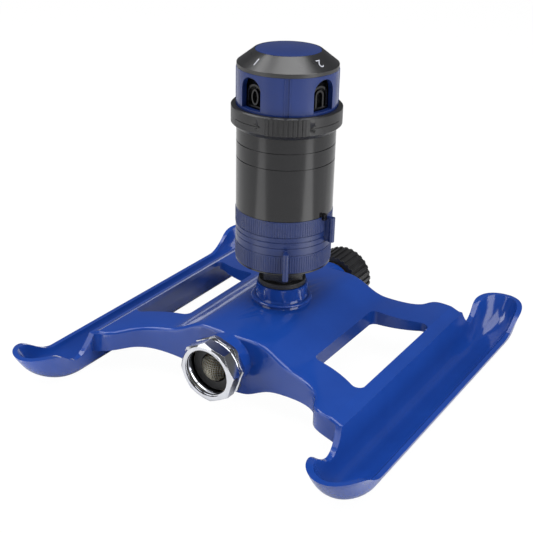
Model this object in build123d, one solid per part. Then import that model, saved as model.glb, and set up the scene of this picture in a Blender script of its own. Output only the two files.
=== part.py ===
from build123d import *
import os
from math import cos, exp, pi, radians, sin, sqrt

# Gear-drive sprinkler on a two-runner sled base, in millimetres.
# +Z is up, the ground is z = 0, and the turret turns about x = y = 0.
# The hose joins at -Y, the closing cap is at +Y, and the runners lie along Y.
# An azimuth is counted from -Y towards +X, in degrees.

os.makedirs("parts", exist_ok=True)

# Fits
RUN_FIT = 0.05            # radial play of a shaft in its bore
SLIDE_GAP = 0.15          # play between flat faces that turn on each other
PASS_GAP = 0.3            # play between curved faces that pass each other

# Sled base casting: the deck, seen in cross-section
WALL = 2.8                # deck, skirts and runner
DECK_FLAT = 14.0          # half width of the deck's flat middle
SHOULDER_X = 42.0         # foot of the deck's slope, and inner edge of a window
WING_SPAN = 33.2          # from there to the bevel
BEVEL_W = 6.65            # width of the bevel down to the crest beside the trough
BEVEL_X = SHOULDER_X + WING_SPAN
CREST_X = BEVEL_X + BEVEL_W
DECK_TOP_Z = 40.6
SHOULDER_DROP = 9.6
WING_DROP = 3.9
BEVEL_DROP = 2.65
SHOULDER_Z = DECK_TOP_Z - SHOULDER_DROP
BEVEL_Z = SHOULDER_Z - WING_DROP
CREST_Z = BEVEL_Z - BEVEL_DROP

# The deck's edge, seen from above, and its skirts
WAIST_Y = 52.4            # half length of the deck in the middle
BEND_IN = 1.0             # the edge starts to flare this far inside the shoulder
BEND_OUT = 1.2            # and this far out from the waist
FLARE_IN = 15.2           # a point of the flare, in from the bevel
FLARE_OUT = 9.8           # and out from the waist
CORNER_OUT = 20.4         # the deck's corners, out from the waist
CORNER_Y = WAIST_Y + CORNER_OUT
LOBE_Z = 5.9              # lowest point of the skirt, under the pipe
LOBE_X = 12.0
LOBE_RISES = (1.0, 6.7, 9.2)  # how far the skirt has risen at one, two and three times LOBE_X
SKIRT_IN = 9.2            # where the skirt levels out, in from the bevel
SKIRT_DROP = 7.85         # its edge there, below the crest
SKIRT_END_DROP = 12.45    # and at the crest
EDGE_ROUND = 1.8

# Windows
WINDOW_IN_Y = 33.6        # half length of a window at its inner edge
WINDOW_SWELL = 2.6        # how much longer it is in its middle
WINDOW_FLARE = 11.0       # and at its outer edge
WINDOW_CORNER = 4.0
WINDOW_SKIRT = 4.9        # how far its wall reaches below the bevel
WINDOW_WALL_Z = BEVEL_Z - WINDOW_SKIRT

# Runners, seen in cross-section
WALL_IN = 2.85            # underside of the steep inner wall, in from the crest
WALL_LEAN = 0.12          # how much that wall leans, per unit of height
SOLE_IN = 9.4             # from there to the sole that stands on the ground
SOLE_W = 2.6
OUTER_W = 17.6            # from the sole to the outer rim
WALL_IN_X = CREST_X - WALL_IN
SOLE_IN_X = WALL_IN_X + SOLE_IN
SOLE_OUT_X = SOLE_IN_X + SOLE_W
RIM_X = SOLE_OUT_X + OUTER_W
RIM_Z = 10.2              # height of the outer rim along the straight
INNER_CURL = 2.4          # how fast the inner wall turns up from the sole
OUTER_CURL = 2.9          # how fast the outer wall turns up from the sole
RIM_THIN = 0.75           # share of the wall's thickness on the outer side
HULL_SHARES = (0.05, 0.16, 0.29, 0.44, 0.6, 0.78, 1)  # levels of the outlines, squared before use

# Their upturned tips, seen from the side and from above
TIP_STEP = 8.0            # the tips start to rise this far past the deck's corners
TIP_RADIUS = 36.2
TIP_BULGE = 19.6          # how far the rounded tip stands out
BULGE_FADE = 0.6          # share of it that is lost at the sole
BULGE_THIN = 0.6          # share of the wall's thickness at the tip
TIP_TOP_Z = 22.4
TIP_START_Y = CORNER_Y + TIP_STEP
HULL_SPARE = 2.2          # what is cut off above the crest
HULL_TOP = CREST_Z + HULL_SPARE
RIM_RISE_IN = 2.8         # where the outer rim starts to rise, before the tip does
RIM_RISE = 27.0           # length of that rise
NOTCH_STEP = 4.0          # the inner rim's fall past the deck's corner
NOTCH_DROP = 6.4
DIP_STEP = 12.0           # its low point, past the deck's corner
DIP_Z = 13.3
DIP_RISE = 17.2           # length of the rise from there to the tip
DIP_Y = CORNER_Y + DIP_STEP

# Water way
PIPE_BORE_R = 8.6
PIPE_WALL = 4.2
COLLAR_STEP = 1.5         # how far the cast collars stand out from the pipe
PIPE_R = PIPE_BORE_R + PIPE_WALL
COLLAR_R = PIPE_R + COLLAR_STEP
PIPE_Z = DECK_TOP_Z - COLLAR_R
COLLAR_OUT = 8.0          # front face of the collar, out from the waist
REAR_COLLAR_OUT = 5.2
COLLAR_Y = WAIST_Y + COLLAR_OUT
REAR_COLLAR_Y = WAIST_Y + REAR_COLLAR_OUT
THREAD_R = 10.4           # stem thread in the boss
BOSS_WALL = 3.8
BOSS_R = THREAD_R + BOSS_WALL
BOSS_CORNER_R = BOSS_R + 0.5  # over the corners of its wrench flats
BOSS_SIDES = 8
BOSS_TURN = 37.0          # azimuth of one corner
BOSS_H = 11.3
BOSS_LIP = 1.6            # round top above the wrench flats
BOSS_FOOT = 3.0           # how far the boss spreads at its foot
BOSS_FOOT_H = 4.0
BOSS_Z = DECK_TOP_Z + BOSS_H

# Hose nut, its tail and the washer
NUT_BORE_R = 13.5
NUT_WALL = 3.8
NUT_CORNER_R = NUT_BORE_R + NUT_WALL
NUT_RECESS_R = NUT_BORE_R + 0.3   # wider back of the bore, round the washer
NUT_SIDES = 8
NUT_TURN = 5.2
NUT_LENGTH = 12.0
NUT_FLANGE = 2.9          # rear flange
NUT_GROOVE = 1.1
NUT_GROOVE_R = NUT_CORNER_R - 2.1
NUT_CHAMFER = 1.3
NUT_LIP = 1.4             # inner lip that the tail holds
NUT_GAP = 0.8             # from the collar to the nut
TAIL_WALL = 2.6
TAIL_R = PIPE_BORE_R + TAIL_WALL
TAIL_FLANGE_R = NUT_BORE_R - 0.4
TAIL_FLANGE = 1.0
TAIL_DEPTH = 12.0         # length screwed into the pipe
WASHER_T = 2.4
WASHER_BORE_R = 8.0
MESH_R = WASHER_BORE_R - 0.1
MESH_RISE = 4.0
MESH_SEAT = 0.3
MESH_T = 0.6

# Rear outlet and its cap
OUTLET_R = NUT_BORE_R - 0.25
OUTLET_BORE_R = PIPE_BORE_R + 0.6
OUTLET_LENGTH = 16.0
OUTLET_END_Y = REAR_COLLAR_Y + OUTLET_LENGTH
CAP_WALL = 4.75
CAP_FLOOR = 4.0
CAP_GAP = 1.4             # from the collar to the cap
CAP_R = OUTLET_R + CAP_WALL
CAP_START_Y = REAR_COLLAR_Y + CAP_GAP
CAP_END_Y = OUTLET_END_Y + CAP_FLOOR
CAP_RIBS = 30
CAP_RIB_H = 0.9
CAP_RIB_W = 1.9
CAP_ROUND = 1.4

# Turret levels, from the boss up
GASKET_T = 3.0
HEX_H = 11.5
RIM_DISC_H = 1.75         # disc over the hexagon
LOWER_RING_H = 14.55
UPPER_RING_H = 15.3
HOUSING_H = 45.5
RANGE_GAP = 0.2
RANGE_H = 11.7
HEAD_H = 19.7
CONE_BAND_H = 2.1
CONE_H = 6.8
HEX_Z = BOSS_Z + GASKET_T
RIM_DISC_Z = HEX_Z + HEX_H
RIM_DISC_TOP = RIM_DISC_Z + RIM_DISC_H
LOWER_RING_TOP = RIM_DISC_TOP + LOWER_RING_H
UPPER_RING_TOP = LOWER_RING_TOP + UPPER_RING_H
HOUSING_TOP = UPPER_RING_TOP + HOUSING_H
RANGE_Z = HOUSING_TOP + RANGE_GAP
RANGE_TOP = RANGE_Z + RANGE_H
HEAD_TOP = RANGE_TOP + HEAD_H
CONE_BAND_Z = HEAD_TOP + CONE_BAND_H
CONE_Z = CONE_BAND_Z + CONE_H

# Stem and arc rings
TURRET_R = 26.6
GASKET_R = BOSS_R - 0.8
HEX_CORNER_R = GASKET_R - 0.7
STEM_WALL = 3.4
STEM_BORE_R = THREAD_R - STEM_WALL
RIM_DISC_R = TURRET_R - 0.1
RIM_CHAMFER = 2.1
RIM_CHAMFER_H = 0.9
RING_WALL = 4.4
RING_BORE_R = TURRET_R - RING_WALL
RING_FACE_H = 4.4         # plain band of the lower ring, above its ribs
RING_STEP_H = 6.0         # plain band of the upper ring, below its ribs
RING_STEP = 0.35
RING_STEP_W = 0.5
LOWER_TAB_TURN = 35.0
UPPER_TAB_TURN = 90.0
TAB_REACH = 5.6
TAB_R = TURRET_R + TAB_REACH
TAB_T = 2.2
TAB_BEAD_R = 1.6
TAB_DROP = 2.2            # how far the lower tab hangs down in front of the stem's disc
TAB_TOP_IN = 1.0          # from a tab's ends to the ring's faces
UPPER_TAB_LOW_IN = 0.6
UPPER_TAB_TOP_IN = 0.4

# Stator, jets and turbine
DRUM_T = 2.0
DRUM_R = RING_BORE_R - PASS_GAP
DRUM_IN_R = DRUM_R - DRUM_T
DRUM_DECK_T = 2.5
DRUM_PORT_IN = 3.9        # middle of the deck's ports, in from the drum's wall
SCREEN_T = 0.8
SCREEN_SLOT_W = 1.4
JET_SKIRT = 3.85          # from the stem's disc to the jet plate
JET_Z = RIM_DISC_TOP + JET_SKIRT
JET_T = 2.4
JETS = 6
JET_IN = 7.4              # middle of the jets, in from the drum's wall
JET_PITCH_R = DRUM_IN_R - JET_IN
JET_W = 1.6
JET_LENGTH = 4.0
JET_LEAN = 35.0
DIVERTER_T = 1.1
DIVERTER_IN = 3.4
DIVERTER_R = DRUM_IN_R - DIVERTER_IN
DIVERTER_PORT_W = 4.4
DIVERTER_PORT_H = 5.0
FINGER_REACH = 0.7        # how far the finger reaches into the lower ring
FINGER_R = RING_BORE_R + FINGER_REACH
FINGER_W = 4.0
TURBINE_RISE = 5.2        # from the jet plate's underside to the turbine
TURBINE_Z = JET_Z + TURBINE_RISE
TURBINE_H = 6.0
TURBINE_IN = 3.7
TURBINE_R = DRUM_IN_R - TURBINE_IN
TURBINE_HUB_R = 3.6
BLADES = 12
BLADE_T = 0.9
BLADE_LEAN = 25.0
SHAFT_R = 1.2
SHAFT_FOOT = 1.0          # floor under the shaft in the jet plate
BUSH_R = 3.0
BUSH_RISE = 0.6

# Gear train, sized by the room in the housing
HOUSING_WALL = 2.0
RING_GEAR_WALL = 4.8      # from the housing's bore to the ring gear's pitch circle
PINION_TEETH = 12
WHEEL_TEETH = 30
OUTPUT_TEETH = 24
RING_TEETH = PINION_TEETH + WHEEL_TEETH + OUTPUT_TEETH
MODULE = 2 * (TURRET_R - HOUSING_WALL - RING_GEAR_WALL) / RING_TEETH
GEAR_OFFSET = MODULE * (PINION_TEETH + WHEEL_TEETH) / 2
GEAR_H = 3.5
GEAR_STEP = 4.4           # from one gear level to the next
GEAR_LEVELS = 4
GEAR_RISE = 3.3           # from the drum's deck to the lowest gear
GEAR_Z = UPPER_RING_TOP + GEAR_RISE
TOOTH_SHARE = 0.4         # tooth width as a share of the pitch
ADDENDUM = 0.9            # tooth height over the pitch circle, in modules
DEDENDUM = 1.2            # and its depth below
FLANK = 0.36              # half of a tooth's taper, as a share of its height
FIRST_GEAR_TURN = 200.0
LAST_GEAR_TURN = 20.0
POST_R = 1.5
POST_STEP = 1.4           # the posts stand this far beyond the gears' axes
POST_PITCH_R = GEAR_OFFSET + POST_STEP
PLATE_EDGE = 2.6
PLATE_R = POST_PITCH_R + PLATE_EDGE
PLATE_T = 2.0
BEARING_T = 0.8
BEARING_R = DRUM_R - 0.1
LEDGE_W = 2.6
LEDGE_R = BEARING_R - LEDGE_W
LEDGE_T = 2.0
RING_GEAR_H = 4.2
KING_R = 3.0
KING_FLANGE_R = 6.0
KING_HEAD = 3.0           # what stands out of the housing
CLIP_W = 2.6
CLIP_T = 1.2

# Gear housing
HOUSING_DECK = 3.0
HOUSING_EDGE_GAP = 0.25
GROOVE_DROPS = (16.7, 7.9)    # the grooves, down from the housing's top
GROOVE = 0.35
STOP_TURN = 83.5
STOP_W = 2.4
STOP_REACH = 2.0
STOP_R = TURRET_R + STOP_REACH
STOP_DROP = 1.7
HUB_R = 6.4
HUB_DROP = 4.5
PORTS = 6
PORT_R = 2.6
PORT_STEP = 5.4           # middle of the ports, out from the spigot
SPIGOT_R = 12.1
SPIGOT_WALL = 2.6
PORT_PITCH_R = SPIGOT_R + PORT_STEP

# Range ring
HEAD_R = 26.7
RANGE_WALL = 2.55
RANGE_LIP = 0.15          # flat foot inside the chamfer
RANGE_R = HEAD_R + PASS_GAP + RANGE_WALL
RANGE_CHAMFER_H = 2.3
RANGE_EDGE = 0.6
RANGE_WEB_T = 2.0
GRIPS = 9
GRIP_PITCH = 4.6
GRIP_W = 1.3
GRIP_H = 0.45
GRIP_TURN = 31.0

# Selector and pattern head
SPACER_W = 2.6
SPACER_H = 3.65
SELECTOR_Z = RANGE_Z + RANGE_WEB_T + SLIDE_GAP + SPACER_H
SELECTOR_T = 2.0
SELECTOR_R = HEAD_R - 2.2
HEAD_WALL = 3.0
HEAD_TUCK = 2.2           # how far the barrel dips into the range ring
WINDOW_TURN = -13.0
HEAD_WINDOWS = 4
HEAD_WINDOW_W = 13.6
HEAD_WINDOW_SILL = 1.2    # from the range ring's top to the windows
HEAD_WINDOW_HEAD = 1.9    # from their tops to the barrel's
HEAD_WINDOW_Z = RANGE_TOP + HEAD_WINDOW_SILL
HEAD_WINDOW_TOP = HEAD_TOP - HEAD_WINDOW_HEAD
INDEX_W = 2.6
INDEX_DEPTH = 0.4
NOZZLE_BASE_T = 3.2
NOZZLE_IN = 4.4
NOZZLE_R = HEAD_R - NOZZLE_IN
NOZZLE_W = 15.0
NOZZLE_DROP = 5.3
NOZZLE_TOP = HEAD_TOP - NOZZLE_DROP
NOZZLE_LEAN = 1.6         # how far the face stands back from the frames
NOZZLE_DUCT_R = 2.2
NOZZLE_COLLAR = 2.3
NOZZLE_FIN_T = 1.6        # walls between the nozzles
FRAME_T = 0.9             # how far the raised outlines stand out
FRAME_W = 1.1
FRAME_ROOT = 3.5
MOUTH_SILL = 0.4          # from a window's sill to the outline behind it
MOUTH_HEAD = 4.0          # from the window's top down to it
MOUTH_SIDE = 0.75
SHAPE_DROP = 0.6          # from the outline's middle down to the oval or ring in it
OVAL_HALF_W = 2.6
OVAL_HALF_H = 4.2
OVAL_RIM = 1.0
INNER_ARCH_W = 6.05
INNER_ARCH_DROP = 2.2
EYE_R = 3.2
EYE_RIM = 1.1
BAR_X = 1.9
BAR_LOW = 2.0
BAR_HEAD = 3.0
CLIP_RECESS = 0.05        # how far the clip sits down over the spigot
SPIGOT_TOP = NOZZLE_TOP + SLIDE_GAP + CLIP_RECESS
HEAD_CLIP_W = 2.2
HEAD_CLIP_IN = 1.2
HEAD_CLIP_T = 1.4
CONE_RUN = 8.9
CONE_R = HEAD_R - CONE_RUN
CONE_WALL = 2.2
CONE_BAND_ROOF = 0.6      # from the hollow's bend up to the band's edge
CONE_TIP_WALL = 2.4
PLUG_H = 3.6
CROWN_R = CONE_R - 0.5
CROWN_T = 1.6
CROWN_RISE = 0.9

UP = (Align.CENTER, Align.CENTER, Align.MIN)
FRONT = Pos(0, 0, PIPE_Z) * Rot(90, 0, 0)      # +Z of a piece becomes -Y
REAR = Pos(0, 0, PIPE_Z) * Rot(-90, 0, 0)      # +Z of a piece becomes +Y

pieces = {}


def disc(radius, low, high):
    """A round solid about Z between two heights."""
    return Pos(0, 0, low) * Cylinder(radius, high - low, align=UP)


def tube(outer, inner, low, high):
    """A pipe about Z between two heights."""
    return disc(outer, low, high) - disc(inner, low, high)


def cone(low_r, high_r, low, high):
    """A cone frustum about Z between two heights."""
    return Pos(0, 0, low) * Cone(low_r, high_r, high - low, align=UP)


def prism(corner_r, sides, turn, low, high):
    """A regular prism about Z."""
    face = Pos(0, 0, low) * Rot(0, 0, turn) * RegularPolygon(corner_r, sides)
    return extrude(face, amount=high - low)


def turned(azimuth, shape):
    """A shape that was made towards -Y, set at an azimuth."""
    return Rot(0, 0, azimuth) * shape


def block(width, near_r, far_r, low, high):
    """A box towards -Y, between two distances from the turret's axis."""
    box = Box(width, far_r - near_r, high - low, align=(Align.CENTER, Align.MAX, Align.MIN))
    return Pos(0, -near_r, low) * box


def post(radius, pitch_r, azimuth, low, high):
    """A round pin that stands off the turret's axis."""
    return turned(azimuth, Pos(0, -pitch_r, 0) * disc(radius, low, high))


def spun(*points):
    """A solid of revolution about Z, from its (radius, height) outline."""
    outline = Polyline(*[(r, 0, z) for r, z in points], close=True)
    return revolve(make_face(outline), axis=Axis.Z)


def section_solid(face, half_length):
    """A face in the XZ plane, drawn out both ways along Y."""
    return extrude(face, amount=half_length, both=True)


def deck_section(drop, half_width, end_z):
    """Half of the deck's cross-section, mirrored, with its top lowered by drop."""
    top = DECK_TOP_Z - drop
    foot = (SHOULDER_X, SHOULDER_Z - drop)
    fall = -WING_DROP / WING_SPAN
    with BuildSketch(Plane.XZ) as sketch:
        with BuildLine():
            Line((0, top), (DECK_FLAT, top))
            Spline((DECK_FLAT, top), foot, tangents=[(1, 0), (1, fall)])
            Line(foot, (BEVEL_X, BEVEL_Z - drop))
            Line((BEVEL_X, BEVEL_Z - drop), (half_width, end_z - drop))
            Line((half_width, end_z - drop), (half_width, -WALL))
            Line((half_width, -WALL), (0, -WALL))
            Line((0, -WALL), (0, top))
        make_face()
        mirror(about=Plane.YZ)
    return sketch.sketch


def deck_plan(inset):
    """The waisted outline of the deck, seen from above, moved in by inset."""
    def edge(sign):
        points = [(0, WAIST_Y), (SHOULDER_X - BEND_IN, WAIST_Y + BEND_OUT)]
        points += [(BEVEL_X - FLARE_IN, WAIST_Y + FLARE_OUT), (BEVEL_X, CORNER_Y)]
        right = [(x, sign * (y - inset)) for x, y in points]
        left = [(-x, y) for x, y in reversed(right[1:])]
        return Spline(*(left + right), tangents=[(1, 0), (1, 0)])
    front, rear = edge(-1), edge(1)
    side = CORNER_Y - inset
    outline = front + rear
    for sign in (-1, 1):
        outline += Line((sign * BEVEL_X, -side), (sign * (CREST_X + WALL), -side))
        outline += Line((sign * BEVEL_X, side), (sign * (CREST_X + WALL), side))
        outline += Line((sign * (CREST_X + WALL), -side), (sign * (CREST_X + WALL), side))
    return extrude(Pos(0, 0, -2 * WALL) * make_face(outline), amount=DECK_TOP_Z + 3 * WALL)


def below_skirt():
    """What lies below the arched lower edge of the skirts."""
    right = [(LOBE_X * (i + 1), LOBE_Z + rise) for i, rise in enumerate(LOBE_RISES)]
    right += [(BEVEL_X - SKIRT_IN, CREST_Z - SKIRT_DROP), (CREST_X, CREST_Z - SKIRT_END_DROP)]
    left = [(-x, z) for x, z in reversed(right)]
    curve = Spline(*[(x, 0, z) for x, z in left + [(0, LOBE_Z)] + right])
    floor = Polyline(*[(x, 0, z) for x, z in (left[0], (-CREST_X, -WALL), (CREST_X, -WALL), right[-1])])
    return section_solid(make_face(curve + floor), CREST_X)


def window_prism(grow):
    """The opening of the right-hand window, or the outside of its wall, which has no outer side."""
    near, far = SHOULDER_X - grow, BEVEL_X
    middle = (near + far) / 2
    half = WINDOW_IN_Y + grow
    outline = Line((near, -half), (near, half))
    outline += Line((far, -half - WINDOW_FLARE), (far, half + WINDOW_FLARE))
    for sign in (-1, 1):
        ends = [(near, half), (middle, half + WINDOW_SWELL), (far, half + WINDOW_FLARE)]
        outline += ThreePointArc(*[(x, sign * y) for x, y in ends])
    face = make_face(outline)
    face = fillet(face.vertices(), WINDOW_CORNER + grow)
    return extrude(face, amount=DECK_TOP_Z)


def hull_outline(rise, inset):
    """The runner's outline at one height: two sides and two rounded tips."""
    inner_fade = exp(-rise / INNER_CURL)
    outer_fade = exp(-rise / OUTER_CURL)
    wall_x = WALL_IN_X + WALL_LEAN * (CREST_Z - rise)
    inner = wall_x + (SOLE_IN_X - wall_x) * inner_fade + inset * (1 - inner_fade)
    outer = RIM_X - (RIM_X - SOLE_OUT_X) * outer_fade - inset * RIM_THIN * (1 - outer_fade)
    radius = TIP_RADIUS - inset
    reach = sqrt(radius ** 2 - (radius - rise) ** 2)
    middle = (inner + outer) / 2
    half = (outer - inner) / 2
    bulge = TIP_BULGE * (1 - BULGE_FADE * outer_fade) - inset * BULGE_THIN
    straight = TIP_START_Y + reach - bulge
    with BuildSketch(Plane.XY.offset(rise + inset)) as sketch:
        with BuildLine():
            Line((middle + half, -straight), (middle + half, straight))
            EllipticalCenterArc((middle, straight), half, bulge, start_angle=0, arc_size=180)
            Line((middle - half, straight), (middle - half, -straight))
            EllipticalCenterArc((middle, -straight), half, bulge, start_angle=180, arc_size=180)
        make_face()
    return sketch.sketch


def hull(inset):
    """The boat-shaped body of a runner, or the hollow that lies inset within it."""
    return loft([hull_outline(HULL_TOP * share ** 2, inset) for share in HULL_SHARES])


def gentle_rise(start_y, length, start_z):
    """Points of a rim line that swings up from one height to the tip's."""
    shares = (0, 0.25, 0.5, 0.75, 1)
    return [(start_y + length * t, start_z + (TIP_TOP_Z - start_z) * t ** 2 * (3 - 2 * t)) for t in shares]


def rim_cutter(points, low_x, high_x):
    """What lies above a rim line, drawn in the YZ plane for both ends."""
    far = TIP_START_Y + TIP_RADIUS
    curve = Spline(*[(0, y, z) for y, z in points + [(far, TIP_TOP_Z)]])
    start_y, start_z = points[0]
    high = 2 * HULL_TOP
    outline = curve + Line((0, 0, start_z), (0, start_y, start_z))
    outline += Polyline((0, far, TIP_TOP_Z), (0, far, high), (0, 0, high), (0, 0, start_z))
    face = Pos(low_x, 0, 0) * make_face(outline)
    solid = extrude(face, amount=high_x - low_x, dir=(1, 0, 0))
    return solid + mirror(solid, Plane.XZ)


def runner():
    """The right-hand runner: a trough with a spoon at each end."""
    sole_lift = HULL_TOP * HULL_SHARES[0] ** 2
    body = Pos(0, 0, -sole_lift) * (hull(0) - hull(WALL))
    middle = (CREST_X + RIM_X) / 2
    outer_rim = gentle_rise(TIP_START_Y - RIM_RISE_IN, RIM_RISE, RIM_Z)
    inner_rim = [(CORNER_Y, CREST_Z), (CORNER_Y + NOTCH_STEP, CREST_Z - NOTCH_DROP)]
    inner_rim += gentle_rise(DIP_Y, DIP_RISE, DIP_Z)
    body -= rim_cutter(outer_rim, middle, RIM_X + WALL)
    body -= rim_cutter(inner_rim, WALL_IN_X - 3 * WALL, middle)
    return body


def sled_base():
    """The painted casting: deck, skirts, windows, runners, boss and pipe."""
    deck = section_solid(deck_section(0, CREST_X, CREST_Z), CORNER_Y + WALL) & deck_plan(0)
    top_edges = [e for e in deck.edges() if e.bounding_box().min.Z > CREST_Z - 1]
    ends = [e for e in top_edges if abs(e.center().Y) > WAIST_Y / 2 and e.bounding_box().size.X > 1]
    deck = fillet(ends, EDGE_ROUND)
    deck -= below_skirt()
    hollow = section_solid(deck_section(WALL, CREST_X - WALL, CREST_Z), CORNER_Y) & deck_plan(WALL)
    frame = section_solid(deck_section(0, CREST_X, CREST_Z), CORNER_Y)
    frame -= Pos(0, 0, WINDOW_WALL_Z - DECK_TOP_Z) * Box(2 * RIM_X, 3 * CORNER_Y, DECK_TOP_Z, align=UP)
    shell = deck - hollow
    window = window_prism(0)
    shell += (window_prism(WALL) & frame) + (mirror(window_prism(WALL), Plane.YZ) & frame)
    shell -= window
    shell -= mirror(window, Plane.YZ)
    right = runner()
    shell += right
    shell += mirror(right, Plane.YZ)
    boss = prism(BOSS_CORNER_R, BOSS_SIDES, BOSS_TURN - 90, PIPE_Z, BOSS_Z - BOSS_LIP)
    boss += disc(BOSS_R, PIPE_Z, BOSS_Z)
    boss += cone(BOSS_R + BOSS_FOOT, BOSS_R, DECK_TOP_Z - WALL / 2, DECK_TOP_Z + BOSS_FOOT_H)
    shell += boss
    shell += FRONT * disc(PIPE_R, -REAR_COLLAR_Y, COLLAR_Y)
    shell += FRONT * disc(COLLAR_R, WAIST_Y - 2 * WALL, COLLAR_Y)
    shell += REAR * disc(COLLAR_R, WAIST_Y - 2 * WALL, REAR_COLLAR_Y)
    shell -= FRONT * disc(PIPE_BORE_R, -REAR_COLLAR_Y, COLLAR_Y)
    shell -= FRONT * disc(TAIL_R, COLLAR_Y - TAIL_DEPTH, COLLAR_Y)
    shell -= REAR * disc(TAIL_R, REAR_COLLAR_Y - TAIL_DEPTH, REAR_COLLAR_Y)
    shell -= disc(THREAD_R, PIPE_Z, BOSS_Z)
    return shell


def washer_foot():
    """Where the hose washer lies on the tail's flange, counted along -Y."""
    return COLLAR_Y + NUT_GAP + NUT_LIP + SLIDE_GAP + TAIL_FLANGE


def washer_top():
    """The washer's outer face, counted along -Y."""
    return washer_foot() + WASHER_T


def dome_crown():
    """The strainer's crown, counted along -Y."""
    return washer_foot() + MESH_SEAT + MESH_RISE


def swivel_nut():
    """The hose nut, with its mouth away from the collar."""
    back = COLLAR_Y + NUT_GAP
    mouth = back + NUT_LENGTH
    groove_end = back + NUT_FLANGE + NUT_GROOVE
    nut = prism(NUT_CORNER_R, NUT_SIDES, NUT_TURN, back, mouth)
    nut &= spun(
        (0, back), (NUT_CORNER_R - NUT_CHAMFER / 2, back), (NUT_CORNER_R, back + NUT_CHAMFER / 2),
        (NUT_CORNER_R, back + NUT_FLANGE - NUT_CHAMFER / 2), (NUT_GROOVE_R, back + NUT_FLANGE),
        (NUT_GROOVE_R, groove_end), (NUT_CORNER_R, groove_end + NUT_CHAMFER),
        (NUT_CORNER_R, mouth - NUT_CHAMFER), (NUT_GROOVE_R, mouth), (0, mouth))
    nut -= disc(NUT_BORE_R, back + NUT_LIP, mouth)
    nut -= disc(NUT_RECESS_R, back + NUT_LIP, dome_crown() + PASS_GAP)
    nut -= disc(TAIL_R + PASS_GAP, back, mouth)
    return FRONT * nut


def inlet_tail():
    """The tail that is screwed into the pipe and holds the nut by its lip."""
    low, high = COLLAR_Y - TAIL_DEPTH, washer_foot()
    tail = disc(TAIL_R, low, high) + disc(TAIL_FLANGE_R, high - TAIL_FLANGE, high)
    return FRONT * (tail - disc(PIPE_BORE_R, low, high))


def inlet_washer():
    """The hose washer that lies on the tail's flange."""
    return FRONT * tube(TAIL_FLANGE_R, WASHER_BORE_R, washer_foot(), washer_top())


def inlet_strainer():
    """The wire dome that is held in the washer."""
    low = washer_foot()
    radius = (MESH_R ** 2 + MESH_RISE ** 2) / (2 * MESH_RISE)
    dome = Pos(0, 0, dome_crown() - radius) * (Sphere(radius) - Sphere(radius - MESH_T))
    dome &= disc(MESH_R, low + MESH_SEAT, dome_crown())
    return FRONT * (dome + tube(MESH_R, MESH_R - MESH_T, low, low + MESH_SEAT + MESH_T))


def outlet_nipple():
    """The rear hose tail that the cap closes."""
    foot = REAR_COLLAR_Y - TAIL_DEPTH
    nipple = disc(TAIL_R, foot, REAR_COLLAR_Y) + disc(OUTLET_R, REAR_COLLAR_Y, OUTLET_END_Y)
    return REAR * (nipple - disc(OUTLET_BORE_R, foot, OUTLET_END_Y))


def outlet_cap():
    """The ribbed cap on the rear tail."""
    low, high = CAP_START_Y, CAP_END_Y
    core_r = CAP_R - CAP_RIB_H
    core = disc(core_r, low, high)
    core = fillet(core.edges().filter_by(GeomType.CIRCLE).group_by(Axis.Z)[-1], CAP_ROUND)
    for i in range(CAP_RIBS):
        rib = block(CAP_RIB_W, core_r - CAP_RIB_H, CAP_R, low, high - CAP_ROUND)
        core += turned(360 * i / CAP_RIBS, rib)
    core += tube(core_r + CAP_RIB_H / 2, core_r - CAP_RIB_H, high - 2 * CAP_ROUND, high - CAP_ROUND)
    return REAR * (core - disc(OUTLET_R + PASS_GAP, low, OUTLET_END_Y + WASHER_T / 2))


def cap_washer():
    """The washer between the rear tail and the cap's floor."""
    return REAR * tube(OUTLET_R, WASHER_BORE_R, OUTLET_END_Y, OUTLET_END_Y + WASHER_T / 2)


def stem_gasket():
    """The rubber ring that the stem's hexagon squeezes onto the boss."""
    return tube(GASKET_R, THREAD_R, BOSS_Z, BOSS_Z + GASKET_T)


def stator_stem():
    """The stem: thread, hexagon and the disc that closes the drum."""
    stem = disc(THREAD_R, PIPE_Z + PIPE_BORE_R, HEX_Z)
    stem += prism(HEX_CORNER_R, 6, BOSS_TURN - 90, HEX_Z, RIM_DISC_Z)
    stem += spun(
        (0, RIM_DISC_Z), (RIM_DISC_R - RIM_CHAMFER, RIM_DISC_Z), (RIM_DISC_R, RIM_DISC_Z + RIM_CHAMFER_H),
        (RIM_DISC_R, RIM_DISC_TOP), (0, RIM_DISC_TOP))
    return stem - disc(STEM_BORE_R, PIPE_Z, RIM_DISC_TOP)


def stator_drum():
    """The drum that stands on the stem's disc and carries the rings and gears."""
    drum = tube(DRUM_R, DRUM_IN_R, RIM_DISC_TOP, UPPER_RING_TOP)
    deck = disc(DRUM_IN_R, UPPER_RING_TOP - DRUM_DECK_T, UPPER_RING_TOP)
    for i in range(PORTS):
        azimuth = 360 * (i + 0.5) / PORTS + 2 * LAST_GEAR_TURN
        deck -= post(PORT_R, DRUM_IN_R - DRUM_PORT_IN, azimuth, 0, HOUSING_TOP)
    drum += deck
    slot_low = JET_Z + JET_T
    slot_top = slot_low + DIVERTER_T + 2 * SLIDE_GAP
    slot = block(3 * FINGER_W, DRUM_IN_R - DRUM_T, DRUM_R + DRUM_T, slot_low, slot_top)
    drum -= turned(STOP_TURN, slot)
    drum -= disc(BUSH_R, 0, HOUSING_TOP)
    for pin_r, pitch_r, azimuth in axle_places():
        drum -= post(pin_r, pitch_r, azimuth, UPPER_RING_TOP - DRUM_DECK_T, HOUSING_TOP)
    return drum


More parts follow.
